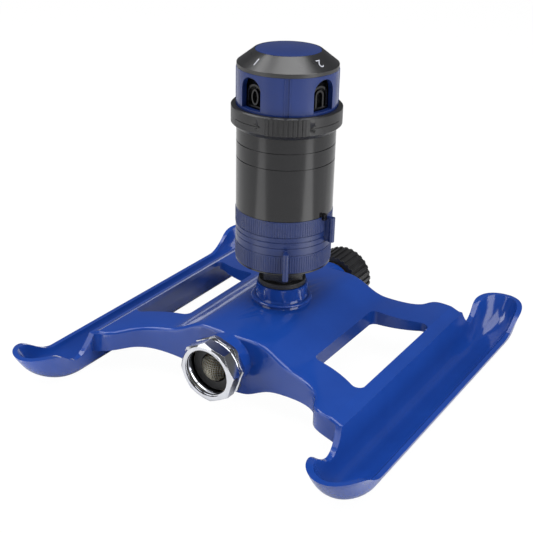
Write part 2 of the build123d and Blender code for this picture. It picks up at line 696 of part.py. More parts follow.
def axle_places():
    """Radius, pitch radius and azimuth of each pin in the drum's deck."""
    return [
        (SHAFT_R, GEAR_OFFSET, FIRST_GEAR_TURN),
        (SHAFT_R, GEAR_OFFSET, LAST_GEAR_TURN),
        (POST_R, POST_PITCH_R, LAST_GEAR_TURN + 90),
        (POST_R, POST_PITCH_R, LAST_GEAR_TURN - 90),
    ]


def plate_z():
    """Underside of the plate over the gears."""
    return GEAR_Z + GEAR_LEVELS * GEAR_STEP


def inlet_screen():
    """The screen over the stem's bore."""
    low, high = RIM_DISC_TOP, RIM_DISC_TOP + SCREEN_T
    screen = disc(STEM_BORE_R + STEM_WALL / 2, low, high)
    slot = block(SCREEN_SLOT_W, SCREEN_SLOT_W, STEM_BORE_R - SCREEN_T, low, high)
    for i in range(PORTS):
        screen -= turned(360 * i / PORTS, slot)
    return screen


def jet_plate():
    """The plate with slanted jets under the turbine, on its own skirt."""
    plate = disc(DRUM_IN_R, JET_Z, JET_Z + JET_T)
    plate += tube(DRUM_IN_R, DRUM_IN_R - DRUM_T, RIM_DISC_TOP, JET_Z)
    plate += disc(BUSH_R, JET_Z, JET_Z + JET_T + DIVERTER_T)
    jet = Pos(0, -JET_PITCH_R, JET_Z) * Rot(0, JET_LEAN, 0) * Box(JET_W, JET_LENGTH, 4 * JET_T)
    for i in range(JETS):
        plate -= turned(360 * i / JETS, jet)
    return plate - disc(SHAFT_R + RUN_FIT, JET_Z + SHAFT_FOOT, TURBINE_Z)


def diverter():
    """The plate that swings to send the water to one set of jets, with its finger."""
    low = JET_Z + JET_T + SLIDE_GAP
    high = low + DIVERTER_T - SLIDE_GAP
    plate = tube(DIVERTER_R, BUSH_R + RUN_FIT, low, high)
    half = DIVERTER_PORT_H / 2
    port = block(DIVERTER_PORT_W, JET_PITCH_R - half, JET_PITCH_R + half, low, high)
    for i in range(JETS):
        plate -= turned(360 * (i + 0.25) / JETS, port)
    return plate + turned(STOP_TURN, block(FINGER_W, DIVERTER_R - DIVERTER_T, FINGER_R, low, high))


def turbine_wheel():
    """The turbine: a hub, slanted blades and a rim."""
    low, high = TURBINE_Z, TURBINE_Z + TURBINE_H
    wheel = tube(TURBINE_HUB_R, SHAFT_R, low, high)
    wheel += tube(TURBINE_R, TURBINE_R - BLADE_T, low + BLADE_T, high - BLADE_T)
    root = BLADE_T / 2
    reach = TURBINE_R - TURBINE_HUB_R
    blade = Box(BLADE_T, reach, TURBINE_H - BLADE_T, align=(Align.CENTER, Align.MAX, Align.CENTER))
    blade = Pos(0, root - TURBINE_HUB_R, (low + high) / 2) * Rot(0, BLADE_LEAN, 0) * blade
    for i in range(BLADES):
        wheel += turned(360 * i / BLADES, blade)
    return wheel


def shaft_levels():
    """Foot and head of the turbine's shaft."""
    return JET_Z + SHAFT_FOOT + SLIDE_GAP, GEAR_Z + GEAR_STEP + GEAR_H


def turbine_shaft():
    """The steel shaft from the turbine up to its pinion."""
    low, high = shaft_levels()
    return disc(SHAFT_R, low, high)


def shaft_bush():
    """The bush that the turbine's shaft runs in."""
    return tube(BUSH_R, SHAFT_R + RUN_FIT, UPPER_RING_TOP - DRUM_DECK_T, UPPER_RING_TOP + BUSH_RISE)


def gear_outline(teeth, addendum, dedendum, share):
    """The toothed outline of a spur gear, with one tooth centred on -Y."""
    pitch_r = MODULE * teeth / 2
    flank = addendum * MODULE * FLANK
    half_tooth = share * pi * MODULE / 2
    tip_r, root_r = pitch_r + addendum * MODULE, pitch_r - dedendum * MODULE
    tip, root = (half_tooth - flank) / tip_r, (half_tooth + flank) / root_r
    points = []
    for i in range(teeth):
        middle = 2 * pi * i / teeth - pi / 2
        for radius, angle in ((root_r, -root), (tip_r, -tip), (tip_r, tip), (root_r, root)):
            points.append((radius * cos(middle + angle), radius * sin(middle + angle)))
    return make_face(Polyline(*points, close=True))


def gear(teeth, level, turn):
    """A spur gear about Z at one level of the train, turned by turn degrees."""
    outline = Rot(0, 0, turn) * gear_outline(teeth, ADDENDUM, DEDENDUM, TOOTH_SHARE)
    low = GEAR_Z + level * GEAR_STEP
    return extrude(Pos(0, 0, low) * outline, amount=GEAR_H)


def mesh_turn(own_teeth, other_teeth, other_turn, towards):
    """Turn of a gear whose tooth gap meets the other's tooth in a direction from it."""
    behind = towards + 180
    phase = (towards - other_turn) * other_teeth / own_teeth
    return behind + phase + 180 / own_teeth


def gear_turns():
    """The turn of each gear that puts the train in mesh at rest."""
    first = mesh_turn(WHEEL_TEETH, PINION_TEETH, 0, FIRST_GEAR_TURN)
    second = mesh_turn(WHEEL_TEETH, PINION_TEETH, first, FIRST_GEAR_TURN + 180)
    last = mesh_turn(WHEEL_TEETH, PINION_TEETH, second, LAST_GEAR_TURN)
    return first, second, last


def compound(wheel_level, wheel_turn, pinion_teeth, pinion_level):
    """A wheel and a pinion in one piece, bored for its pin."""
    low, high = sorted((wheel_level, pinion_level))
    piece = gear(WHEEL_TEETH, wheel_level, wheel_turn) + gear(pinion_teeth, pinion_level, wheel_turn)
    neck_r = MODULE * PINION_TEETH / 2 - DEDENDUM * MODULE - RUN_FIT
    piece += disc(neck_r, GEAR_Z + low * GEAR_STEP, GEAR_Z + high * GEAR_STEP + GEAR_H)
    return piece - disc(SHAFT_R + RUN_FIT, 0, HOUSING_TOP)


def set_off(azimuth, piece):
    """A gear moved out to its pin."""
    return Pos(GEAR_OFFSET * sin(radians(azimuth)), -GEAR_OFFSET * cos(radians(azimuth)), 0) * piece


def turbine_pinion():
    """The pinion on the turbine's shaft."""
    return gear(PINION_TEETH, 1, 0) - disc(SHAFT_R, 0, HOUSING_TOP)


def gear_first():
    """The first compound gear."""
    return set_off(FIRST_GEAR_TURN, compound(1, gear_turns()[0], PINION_TEETH, 2))


def gear_second():
    """The second compound gear, on the turret's axis."""
    return compound(2, gear_turns()[1], PINION_TEETH, 3)


def gear_last():
    """The last compound gear, whose lower pinion drives the ring gear."""
    return set_off(LAST_GEAR_TURN, compound(3, gear_turns()[2], OUTPUT_TEETH, 0))


def ring_gear():
    """The inner-toothed ring that turns the housing."""
    low = ledge_z() + LEDGE_T
    gaps = gear_outline(RING_TEETH, DEDENDUM, ADDENDUM, 1 - TOOTH_SHARE)
    pinion_turn = gear_turns()[2]
    turn = LAST_GEAR_TURN + (pinion_turn - LAST_GEAR_TURN) * OUTPUT_TEETH / RING_TEETH
    cutter = extrude(Pos(0, 0, low) * Rot(0, 0, turn) * gaps, amount=RING_GEAR_H)
    return disc(TURRET_R - HOUSING_WALL, low, low + RING_GEAR_H) - cutter


def gear_pins():
    """The steel pins and spacers between the drum and the plate."""
    low = UPPER_RING_TOP - DRUM_DECK_T
    high = plate_z() + PLATE_T
    pins = [post(pin_r, pitch_r, azimuth, low, high) for pin_r, pitch_r, azimuth in axle_places()]
    pins.append(disc(SHAFT_R, shaft_levels()[1] + SLIDE_GAP, high))
    return Compound(children=pins)


def gear_plate():
    """The plate over the gears."""
    low = plate_z()
    plate = disc(PLATE_R, low, low + PLATE_T)
    plate -= disc(SHAFT_R, low, low + PLATE_T)
    for pin_r, pitch_r, azimuth in axle_places():
        plate -= post(pin_r, pitch_r, azimuth, low, low + PLATE_T)
    return plate


def king_pin():
    """The pin that the housing turns on, up from the gear plate."""
    low = plate_z() + PLATE_T
    return disc(KING_FLANGE_R, low, low + PLATE_T) + disc(KING_R, low, HOUSING_TOP + KING_HEAD)


def king_clip():
    """The ring on the king pin's head that keeps the housing down."""
    low = HOUSING_TOP + SLIDE_GAP
    return tube(KING_R + CLIP_W, KING_R, low, low + CLIP_T)


def bearing_washer():
    """The slippery ring between the drum and the housing's ledge."""
    return tube(BEARING_R, LEDGE_R + SLIDE_GAP, UPPER_RING_TOP, UPPER_RING_TOP + BEARING_T)


def ledge_z():
    """Underside of the ledge inside the housing."""
    return UPPER_RING_TOP + BEARING_T + SLIDE_GAP


def arc_ring(low, high, tab_turn, tab_low, tab_high):
    """An arc ring with its tab, as a plain ring between two heights."""
    ring = tube(TURRET_R, RING_BORE_R, low, high)
    tab = block(TAB_T, RING_BORE_R + RING_WALL / 2, TAB_R - TAB_BEAD_R, tab_low, tab_high)
    tab += Pos(0, TAB_BEAD_R - TAB_R, 0) * disc(TAB_BEAD_R, tab_low, tab_high)
    return ring + turned(tab_turn, tab)


def lower_arc_ring():
    """The lower arc ring, with the groove that the diverter's finger runs in."""
    low, high = RIM_DISC_TOP + SLIDE_GAP, LOWER_RING_TOP
    ring = arc_ring(low, high, LOWER_TAB_TURN, low, high - TAB_TOP_IN)
    drop = block(TAB_T, TURRET_R + PASS_GAP, TAB_R - TAB_BEAD_R, low - TAB_DROP, low)
    drop += Pos(0, TAB_BEAD_R - TAB_R, 0) * disc(TAB_BEAD_R, low - TAB_DROP, low)
    ring += turned(LOWER_TAB_TURN, drop)
    face_low = high - RING_FACE_H
    step = tube(TURRET_R + RING_STEP, TURRET_R - RING_STEP, face_low, face_low + RING_STEP_W)
    ring -= step - turned(LOWER_TAB_TURN, block(TAB_T, 0, TAB_R, low, high))
    groove_low = JET_Z + JET_T - DIVERTER_T
    return ring - tube(FINGER_R + PASS_GAP, DRUM_R, groove_low, groove_low + 3 * DIVERTER_T)


def upper_arc_ring():
    """The upper arc ring, with a stepped band along its foot."""
    low, high = LOWER_RING_TOP + SLIDE_GAP, UPPER_RING_TOP
    ring = arc_ring(low, high, UPPER_TAB_TURN, low + UPPER_TAB_LOW_IN, high - UPPER_TAB_TOP_IN)
    for rise in (RING_STEP_H / 2, RING_STEP_H):
        cut = tube(TURRET_R + RING_STEP, TURRET_R - RING_STEP, low + rise, low + rise + RING_STEP_W)
        ring -= cut - turned(UPPER_TAB_TURN, block(TAB_T, 0, TAB_R, low, high))
    return ring


def gear_housing():
    """The black cylinder, closed on top, with its stop lug and hub."""
    low = UPPER_RING_TOP + HOUSING_EDGE_GAP
    inner = TURRET_R - HOUSING_WALL
    shell = tube(TURRET_R, inner, low, HOUSING_TOP)
    shell += tube(inner, LEDGE_R, ledge_z(), ledge_z() + LEDGE_T)
    shell += disc(inner, HOUSING_TOP - HOUSING_DECK, HOUSING_TOP)
    shell += disc(HUB_R, HOUSING_TOP - HOUSING_DECK - HUB_DROP, HOUSING_TOP)
    shell -= disc(KING_R + RUN_FIT, low, HOUSING_TOP)
    for i in range(PORTS):
        shell -= post(PORT_R, PORT_PITCH_R, 360 * i / PORTS, HOUSING_TOP - HOUSING_DECK, HOUSING_TOP)
    for drop in GROOVE_DROPS:
        z = HOUSING_TOP - drop
        shell -= tube(TURRET_R + GROOVE, TURRET_R - GROOVE, z, z + GROOVE)
    stop = block(STOP_W, TURRET_R - HOUSING_WALL / 2, STOP_R, low - STOP_DROP, low + STOP_DROP)
    stop -= disc(TURRET_R + PASS_GAP, 0, low)
    return shell + turned(STOP_TURN, stop)


def outlet_spigot():
    """The tube on the housing that the ring and the head turn about."""
    return tube(SPIGOT_R, SPIGOT_R - SPIGOT_WALL, HOUSING_TOP, SPIGOT_TOP)


def range_ring():
    """The ribbed ring, whose web closes the housing's ports when it is turned."""
    bore = HEAD_R + PASS_GAP
    web_top = RANGE_Z + RANGE_WEB_T
    chamfer_top = RANGE_Z + RANGE_CHAMFER_H
    grip = block(GRIP_W, RANGE_R - RANGE_EDGE, RANGE_R + GRIP_H, chamfer_top, RANGE_TOP - RANGE_EDGE)
    ring = spun(
        (bore, RANGE_Z), (bore + RANGE_LIP, RANGE_Z), (RANGE_R, chamfer_top),
        (RANGE_R, RANGE_TOP - RANGE_EDGE), (RANGE_R - RANGE_EDGE, RANGE_TOP), (bore, RANGE_TOP))
    web = tube(bore + RANGE_LIP, SPIGOT_R + PASS_GAP, RANGE_Z, web_top)
    for i in range(PORTS):
        web -= post(PORT_R, PORT_PITCH_R, 360 * i / PORTS, RANGE_Z, web_top)
    for i in range(2 * GRIPS):
        azimuth = GRIP_TURN + 180 * (i // GRIPS) + GRIP_PITCH * (i % GRIPS - (GRIPS - 1) / 2)
        ring += turned(azimuth, grip)
    return ring + web


def selector_spacer():
    """The collar between the range ring's web and the selector disc."""
    return tube(SPIGOT_R + SPACER_W, SPIGOT_R, SELECTOR_Z - SPACER_H, SELECTOR_Z)


def selector_disc():
    """The fixed disc with one port, under the nozzles."""
    low = SELECTOR_Z
    plate = tube(SELECTOR_R, SPIGOT_R, low, low + SELECTOR_T)
    return plate - post(PORT_R, PORT_PITCH_R, WINDOW_TURN, low, low + SELECTOR_T)


def arch(width, low, high, near_r, far_r):
    """A block towards -Y whose top is a half round."""
    spring = high - width / 2
    body = block(width, near_r, far_r, low, spring)
    top = Pos(0, -near_r, spring) * Rot(90, 0, 0) * Cylinder(width / 2, far_r - near_r, align=UP)
    return body + top


def pattern_head():
    """The blue barrel with its arched windows and index grooves."""
    low = RANGE_TOP - HEAD_TUCK
    barrel = tube(HEAD_R, HEAD_R - HEAD_WALL, low, HEAD_TOP)
    window = arch(HEAD_WINDOW_W, HEAD_WINDOW_Z, HEAD_WINDOW_TOP, NOZZLE_R - NOZZLE_IN, HEAD_R + INDEX_DEPTH)
    groove = block(INDEX_W, HEAD_R - INDEX_DEPTH, HEAD_R + INDEX_DEPTH, low, HEAD_TOP)
    for i in range(HEAD_WINDOWS):
        azimuth = WINDOW_TURN + 360 * i / HEAD_WINDOWS
        barrel -= turned(azimuth, window)
        barrel -= turned(azimuth + 180 / HEAD_WINDOWS, groove)
    return barrel


def nozzle_mouth(kind):
    """The raised outline on one nozzle face, towards -Y."""
    low, high = HEAD_WINDOW_Z + MOUTH_SILL, HEAD_WINDOW_TOP - MOUTH_HEAD
    width = HEAD_WINDOW_W - 2 * MOUTH_SIDE
    near, far = NOZZLE_R - FRAME_ROOT, NOZZLE_R + FRAME_T
    frame = arch(width, low, high, near, far)
    frame -= arch(width - 2 * FRAME_W, low + FRAME_W, high - FRAME_W, near, far)
    middle = Pos(0, 0, (low + high) / 2 - SHAPE_DROP) * Rot(90, 0, 0)
    if kind == 0:
        oval = Ellipse(OVAL_HALF_W, OVAL_HALF_H) - Ellipse(OVAL_HALF_W - OVAL_RIM, OVAL_HALF_H - OVAL_RIM)
        frame += middle * extrude(Pos(0, 0, near) * oval, amount=far - near)
    elif kind == 1:
        top = high - INNER_ARCH_DROP
        frame += arch(INNER_ARCH_W, low + FRAME_W, top, near, far)
        frame -= arch(INNER_ARCH_W - 2 * FRAME_W, low + FRAME_W, top - FRAME_W, near, far)
    elif kind == 2:
        frame += middle * tube(EYE_R, EYE_R - EYE_RIM, near, far)
    else:
        for sign in (-1, 1):
            frame += Pos(sign * BAR_X, 0, 0) * block(FRAME_W, near, far, low + BAR_LOW, high - BAR_HEAD)
    return frame


def nozzle_block():
    """The black block with four nozzle faces behind the windows."""
    low = SELECTOR_Z + SELECTOR_T + SLIDE_GAP
    floor = low + NOZZLE_BASE_T
    body = tube(HEAD_R - HEAD_WALL, SPIGOT_R + PASS_GAP, low, floor)
    body += tube(SPIGOT_R + NOZZLE_COLLAR, SPIGOT_R + PASS_GAP, low, NOZZLE_TOP)
    room = tube(HEAD_R - HEAD_WALL - SLIDE_GAP, SPIGOT_R + PASS_GAP, low, HEAD_TOP)
    side = block(NOZZLE_W, SPIGOT_R, NOZZLE_R - NOZZLE_LEAN, floor, NOZZLE_TOP)
    fin = block(NOZZLE_FIN_T, SPIGOT_R, HEAD_R, floor, NOZZLE_TOP)
    for i in range(HEAD_WINDOWS):
        azimuth = WINDOW_TURN + 360 * i / HEAD_WINDOWS
        body += turned(azimuth, side + nozzle_mouth(i)) & room
        body += turned(azimuth + 180 / HEAD_WINDOWS, fin) & room
        body -= post(PORT_R, PORT_PITCH_R, azimuth, low, floor)
        body -= post(NOZZLE_DUCT_R, PORT_PITCH_R, azimuth, floor, NOZZLE_TOP - HEAD_WALL)
    return body


def head_clip():
    """The ring on the spigot that keeps the head down."""
    low, high = NOZZLE_TOP + SLIDE_GAP, NOZZLE_TOP + HEAD_CLIP_T
    return tube(SPIGOT_R + HEAD_CLIP_W, SPIGOT_R - HEAD_CLIP_IN, low, high) - disc(SPIGOT_R, low, SPIGOT_TOP)


def cone_cap():
    """The black cone on the barrel, with a recess for the crown."""
    plug_r = HEAD_R - HEAD_WALL
    cap = spun(
        (0, HEAD_TOP), (HEAD_R, HEAD_TOP), (HEAD_R, CONE_BAND_Z), (CONE_R, CONE_Z), (0, CONE_Z))
    cap -= spun(
        (0, HEAD_TOP), (plug_r - CONE_WALL, HEAD_TOP), (plug_r - CONE_WALL, CONE_BAND_Z - CONE_BAND_ROOF),
        (CONE_R - CONE_TIP_WALL, CONE_Z - CROWN_T - CONE_WALL), (0, CONE_Z - CROWN_T - CONE_WALL))
    cap += tube(plug_r, plug_r - CONE_WALL, HEAD_TOP - PLUG_H, HEAD_TOP)
    return cap - disc(CROWN_R, CONE_Z - CROWN_T, CONE_Z)


def crown_disc():
    """The blue disc on top, slightly domed."""
    low = CONE_Z - CROWN_T
    radius = (CROWN_R ** 2 + CROWN_RISE ** 2) / (2 * CROWN_RISE)
    dome = Pos(0, 0, CONE_Z + CROWN_RISE - radius) * Sphere(radius)
    return disc(CROWN_R, low, CONE_Z + CROWN_RISE) & dome


for maker in (
        sled_base, swivel_nut, inlet_tail, inlet_washer, inlet_strainer, outlet_nipple, outlet_cap,
        cap_washer, stem_gasket, stator_stem, stator_drum, inlet_screen, jet_plate, diverter,
        turbine_wheel, turbine_shaft, turbine_pinion, shaft_bush, gear_first, gear_second, gear_last,
        gear_pins, gear_plate, king_pin, king_clip, bearing_washer, ring_gear, lower_arc_ring,
        upper_arc_ring, gear_housing, outlet_spigot, range_ring, selector_spacer, selector_disc, pattern_head,
        nozzle_block, head_clip, cone_cap, crown_disc):
    pieces[maker.__name__] = maker()

for name, piece in pieces.items():
    export_step(piece, f"parts/{name}.step")
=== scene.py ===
"""Looks of a gear-drive sprinkler on a two-runner sled base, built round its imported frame.

Lengths in the dataclasses are millimetres unless a docstring says otherwise, and MM turns them into
the scene's metres. +Z is up, the hose joins at -Y, and an azimuth is counted from -Y towards +X.
"""

from __future__ import annotations

import logging
import math
from dataclasses import dataclass, field
from enum import Enum
from typing import Callable, Iterable, Sequence

import bmesh
import bpy
from mathutils import Matrix, Vector

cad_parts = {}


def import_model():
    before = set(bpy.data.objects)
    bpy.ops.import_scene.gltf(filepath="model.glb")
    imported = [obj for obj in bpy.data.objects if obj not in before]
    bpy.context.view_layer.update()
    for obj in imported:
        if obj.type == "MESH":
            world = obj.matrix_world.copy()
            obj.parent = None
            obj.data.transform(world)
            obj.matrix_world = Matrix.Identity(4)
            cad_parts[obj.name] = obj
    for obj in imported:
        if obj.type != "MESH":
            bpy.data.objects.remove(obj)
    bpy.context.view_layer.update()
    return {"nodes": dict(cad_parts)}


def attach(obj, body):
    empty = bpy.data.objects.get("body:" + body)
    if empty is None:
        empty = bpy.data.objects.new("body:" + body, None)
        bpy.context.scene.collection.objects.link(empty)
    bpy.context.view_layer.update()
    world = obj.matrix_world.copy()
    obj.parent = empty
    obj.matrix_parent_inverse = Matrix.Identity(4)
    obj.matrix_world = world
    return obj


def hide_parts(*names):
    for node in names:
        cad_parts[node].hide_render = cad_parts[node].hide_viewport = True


MM = 0.001
LOG = logging.getLogger("sprinkler")

WELD = 1e-7  # vertices of a made mesh that lie closer than this are one, in metres
SKIN_WELD = 2e-6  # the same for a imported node's triangles, in metres
SLIVER = 1e-6  # packed edges shorter than this go, in metres
FLAT_DEGREES = 0.4  # packed faces that turn by less than this are joined
SKIN_SHARP = 26.0  # a skin's edges that turn by more than this stay crisp, in degrees
RIDGE_SHARP = 50.0  # the same on ridges, threads and lines
SOFT_SHARP = 60.0  # the same on the bead and the net
DIGIT_SHARE = 0.7  # height of the font's digits as a share of its size

Colour = tuple[float, float, float]
Mesh = bpy.types.Mesh
Object = bpy.types.Object
Material = bpy.types.Material
Socket = bpy.types.NodeSocket


class Body(str, Enum):
    """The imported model's rigid bodies that pieces ride on."""

    BASE = "base"
    HOSE_NUT = "hose_nut"
    CLOSING_CAP = "closing_cap"
    LOWER_RING = "lower_ring"
    UPPER_RING = "upper_ring"
    ROTOR = "rotor"
    DISTANCE_RING = "distance_ring"
    NOZZLE_HEAD = "nozzle_head"


class Slot(str, Enum):
    """The record's material slots."""

    BLUE_PAINT = "blue_paint"
    BLUE_PLASTIC = "blue_plastic"
    NAVY_PLASTIC = "navy_plastic"
    BLACK_PLASTIC = "black_plastic"
    CHROME = "chrome"
    BRASS = "brass"
    RUBBER = "rubber"
    STEEL = "steel"
    MESH = "mesh"
    ACETAL = "acetal"


class Graph:
    """A short way to add and join the nodes of one tree."""

    def __init__(self, tree: bpy.types.NodeTree) -> None:
        """Keeps the tree and empties it.

        Args:
            tree: The shader or geometry tree to fill.
        """
        self.tree = tree
        tree.nodes.clear()

    def add(self, kind: str, settings: dict | None = None, **inputs: object) -> bpy.types.Node:
        """Adds a node, sets it up and feeds its inputs.

        Args:
            kind: The node's type name.
            settings: Attributes of the node, such as its operation.
            **inputs: A socket to join or a value to set for each input, with _ for a space in its name,
                or i and a number for the input at that place.

        Returns:
            The new node.
        """
        node = self.tree.nodes.new(kind)
        for name, value in (settings or {}).items():
            setattr(node, name, value)
        for name, value in inputs.items():
            key = int(name[1:]) if name[1:].isdigit() else name.replace("_", " ")
            self.feed(node.inputs[key], value)
        return node

    def feed(self, socket: Socket, value: object) -> None:
        """Joins an output to a socket, or sets the socket's own value."""
        if isinstance(value, Socket):
            self.tree.links.new(value, socket)
        else:
            socket.default_value = value

    def maths(self, operation: str, *values: object) -> Socket:
        """Adds a Math node, feeds its inputs in order and gives its output."""
        inputs = {f"i{place}": value for place, value in enumerate(values)}
        return self.add("ShaderNodeMath", {"operation": operation}, **inputs).outputs[0]


@dataclass(frozen=True)
class Finish:
    """A moulded or painted surface with grain, mottling and uneven gloss.

    Attributes:
        name: The material's name.
        colour: Main colour, linear.
        second: Colour that the mottling drifts to, linear.
        gloss_low: Roughness where the surface is smoothest.
        gloss_high: Roughness where it is dullest.
        grain: Size of the surface's grain, in mm.
        grain_depth: Depth of that grain, in mm.
        mottle: Size of the patches of colour and gloss, in mm.
        metallic: 1 for a bare metal.
        coat: Weight of a clear coat.
        coat_roughness: Roughness of the clear coat.
        specular: Specular level.
        stretch: How far the grain is drawn out along Z.
        noise_span: The noise values between which colour and gloss drift.
        patch_share: How much of the gloss follows the patches. The grain takes the rest.
    """

    name: str
    colour: Colour
    second: Colour
    gloss_low: float
    gloss_high: float
    grain: float
    grain_depth: float
    mottle: float = 14.0
    metallic: float = 0.0
    coat: float = 0.0
    coat_roughness: float = 0.05
    specular: float = 0.5
    stretch: float = 1.0
    noise_span: tuple[float, float] = (0.3, 0.7)
    patch_share: float = 0.7

    def build(self) -> Material:
        """Makes the material, or finds the one made before.

        Returns:
            The material.
        """
        found = bpy.data.materials.get(self.name)
        if found:
            return found
        material = bpy.data.materials.new(self.name)
        material.use_nodes = True
        graph = Graph(material.node_tree)
        coords = graph.add("ShaderNodeTexCoord").outputs["Object"]
        squeezed = graph.add("ShaderNodeMapping", Vector=coords, Scale=(1.0, 1.0, 1.0 / self.stretch))
        patches = graph.add(
            "ShaderNodeTexNoise", Vector=coords, Scale=1.0 / (self.mottle * MM), Detail=4.0).outputs["Fac"]
        grain = graph.add(
            "ShaderNodeTexNoise", Vector=squeezed.outputs[0], Scale=1.0 / (self.grain * MM), Detail=3.0,
            Roughness=0.55).outputs["Fac"]
        tint = graph.add("ShaderNodeValToRGB", Fac=patches)
        for stop, place, colour in zip(
                tint.color_ramp.elements, self.noise_span, (self.second, self.colour)):
            stop.position = place
            stop.color = (*colour, 1.0)
        grain_part = graph.maths("MULTIPLY", grain, 1.0 - self.patch_share)
        mixed = graph.maths("MULTIPLY_ADD", patches, self.patch_share, grain_part)
        low, high = self.noise_span
        dullness = graph.add(
            "ShaderNodeMapRange", Value=mixed, From_Min=low, From_Max=high, To_Min=self.gloss_low,
            To_Max=self.gloss_high)
        bump = graph.add("ShaderNodeBump", Height=grain, Distance=self.grain_depth * MM, Strength=1.0)
        shader = graph.add(
            "ShaderNodeBsdfPrincipled", Base_Color=tint.outputs["Color"], Metallic=self.metallic,
            Roughness=dullness.outputs["Result"], Normal=bump.outputs["Normal"], Coat_Weight=self.coat,
            Coat_Roughness=self.coat_roughness, Specular_IOR_Level=self.specular)
        graph.add("ShaderNodeOutputMaterial", Surface=shader.outputs[0])
        return material


ENAMEL = Finish(
    "blue_enamel", (0.010, 0.052, 0.290), (0.008, 0.044, 0.256), 0.12, 0.20, grain=1.6,
    grain_depth=0.012, mottle=30.0, coat=0.35, coat_roughness=0.06, specular=0.35)
BLUE_PLASTIC = Finish(
    "blue_moulded_plastic", (0.012, 0.031, 0.150), (0.010, 0.026, 0.128), 0.17, 0.26, grain=0.5,
    grain_depth=0.006, specular=0.4)
NAVY_PLASTIC = Finish(
    "navy_moulded_plastic", (0.013, 0.029, 0.122), (0.010, 0.023, 0.102), 0.24, 0.38, grain=0.45,
    grain_depth=0.008, mottle=9.0, specular=0.4)
BLACK_PLASTIC = Finish(
    "black_moulded_plastic", (0.007, 0.007, 0.008), (0.005, 0.005, 0.006), 0.15, 0.23, grain=0.9,
    grain_depth=0.003, mottle=12.0, specular=0.42)
BLACK_SATIN = Finish(
    "black_satin_plastic", (0.013, 0.013, 0.014), (0.009, 0.009, 0.010), 0.32, 0.44, grain=0.35,
    grain_depth=0.008, mottle=8.0)
BLACK_CONE = Finish(
    "black_cone_plastic", (0.012, 0.012, 0.013), (0.009, 0.009, 0.010), 0.26, 0.36, grain=0.4,
    grain_depth=0.006, mottle=8.0, specular=0.8)
CHROME = Finish(
    "chrome_plate", (0.66, 0.67, 0.70), (0.58, 0.59, 0.63), 0.07, 0.16, grain=2.2, grain_depth=0.006,
    mottle=6.0, metallic=1.0)
BRASS = Finish(
    "turned_brass", (0.62, 0.42, 0.16), (0.52, 0.34, 0.13), 0.22, 0.38, grain=0.5, grain_depth=0.006,
    metallic=1.0)
STEEL = Finish(
    "drawn_steel", (0.52, 0.52, 0.54), (0.44, 0.44, 0.46), 0.20, 0.34, grain=0.4, grain_depth=0.005,
    metallic=1.0, stretch=6.0)
WIRE = Finish(
    "strainer_wire", (0.40, 0.38, 0.31), (0.28, 0.26, 0.21), 0.24, 0.40, grain=0.4, grain_depth=0.006,
    mottle=3.0, metallic=1.0)
RUBBER = Finish(
    "washer_rubber", (0.010, 0.010, 0.011), (0.016, 0.016, 0.017), 0.48, 0.66, grain=0.6,
    grain_depth=0.02, mottle=5.0)
ACETAL = Finish(
    "white_acetal", (0.66, 0.64, 0.58), (0.60, 0.58, 0.52), 0.34, 0.46, grain=0.6, grain_depth=0.006)
INK = Finish(
    "pale_ink", (0.52, 0.53, 0.58), (0.42, 0.43, 0.48), 0.42, 0.58, grain=0.4, grain_depth=0.006,
    mottle=1.6)

SLOT_FINISH = {
    Slot.BLUE_PAINT: ENAMEL,
    Slot.BLUE_PLASTIC: BLUE_PLASTIC,
    Slot.NAVY_PLASTIC: NAVY_PLASTIC,
    Slot.BLACK_PLASTIC: BLACK_PLASTIC,
    Slot.CHROME: CHROME,
    Slot.BRASS: BRASS,
    Slot.RUBBER: RUBBER,
    Slot.STEEL: STEEL,
    Slot.MESH: WIRE,
    Slot.ACETAL: ACETAL,
}


def new_object(name: str, data: bpy.types.ID) -> Object:
    """Links a mesh, text or lamp to the scene as an object at the origin."""
    made = bpy.data.objects.new(name, data)
    bpy.context.scene.collection.objects.link(made)
    return made


def smooth(mesh: Mesh, sharp_degrees: float) -> None:
    """Shades a mesh smooth, apart from edges that turn by more than an angle."""
    mesh.polygons.foreach_set("use_smooth", [True] * len(mesh.polygons))
    mesh.set_sharp_from_angle(angle=math.radians(sharp_degrees))
    mesh.update()


def mesh_from(build: Callable[[bmesh.types.BMesh], None], name: str) -> Mesh:
    """Fills a new mesh by a function that works on a BMesh.

    Args:
        build: The function that adds the geometry.
        name: The mesh's name.

    Returns:
        The new mesh, with its faces turned outwards.
    """
    work = bmesh.new()
    build(work)
    bmesh.ops.remove_doubles(work, verts=work.verts, dist=WELD)
    bmesh.ops.recalc_face_normals(work, faces=work.faces)
    mesh = bpy.data.meshes.new(name)
    work.to_mesh(mesh)
    work.free()
    return mesh


def round_edges(target: Object, width: float, segments: int = 2, degrees: float = 28.0) -> None:
    """Rounds an object's sharp edges.

    Args:
        target: The object.
        width: Width of the round, in mm.
        segments: How many strips the round has.
        degrees: Edges that turn by more than this are rounded.
    """
    bevel = target.modifiers.new("round", "BEVEL")
    bevel.width = width * MM
    bevel.segments = segments
    bevel.limit_method = "ANGLE"
    bevel.angle_limit = math.radians(degrees)
    bevel.harden_normals = True
    bevel.use_clamp_overlap = True


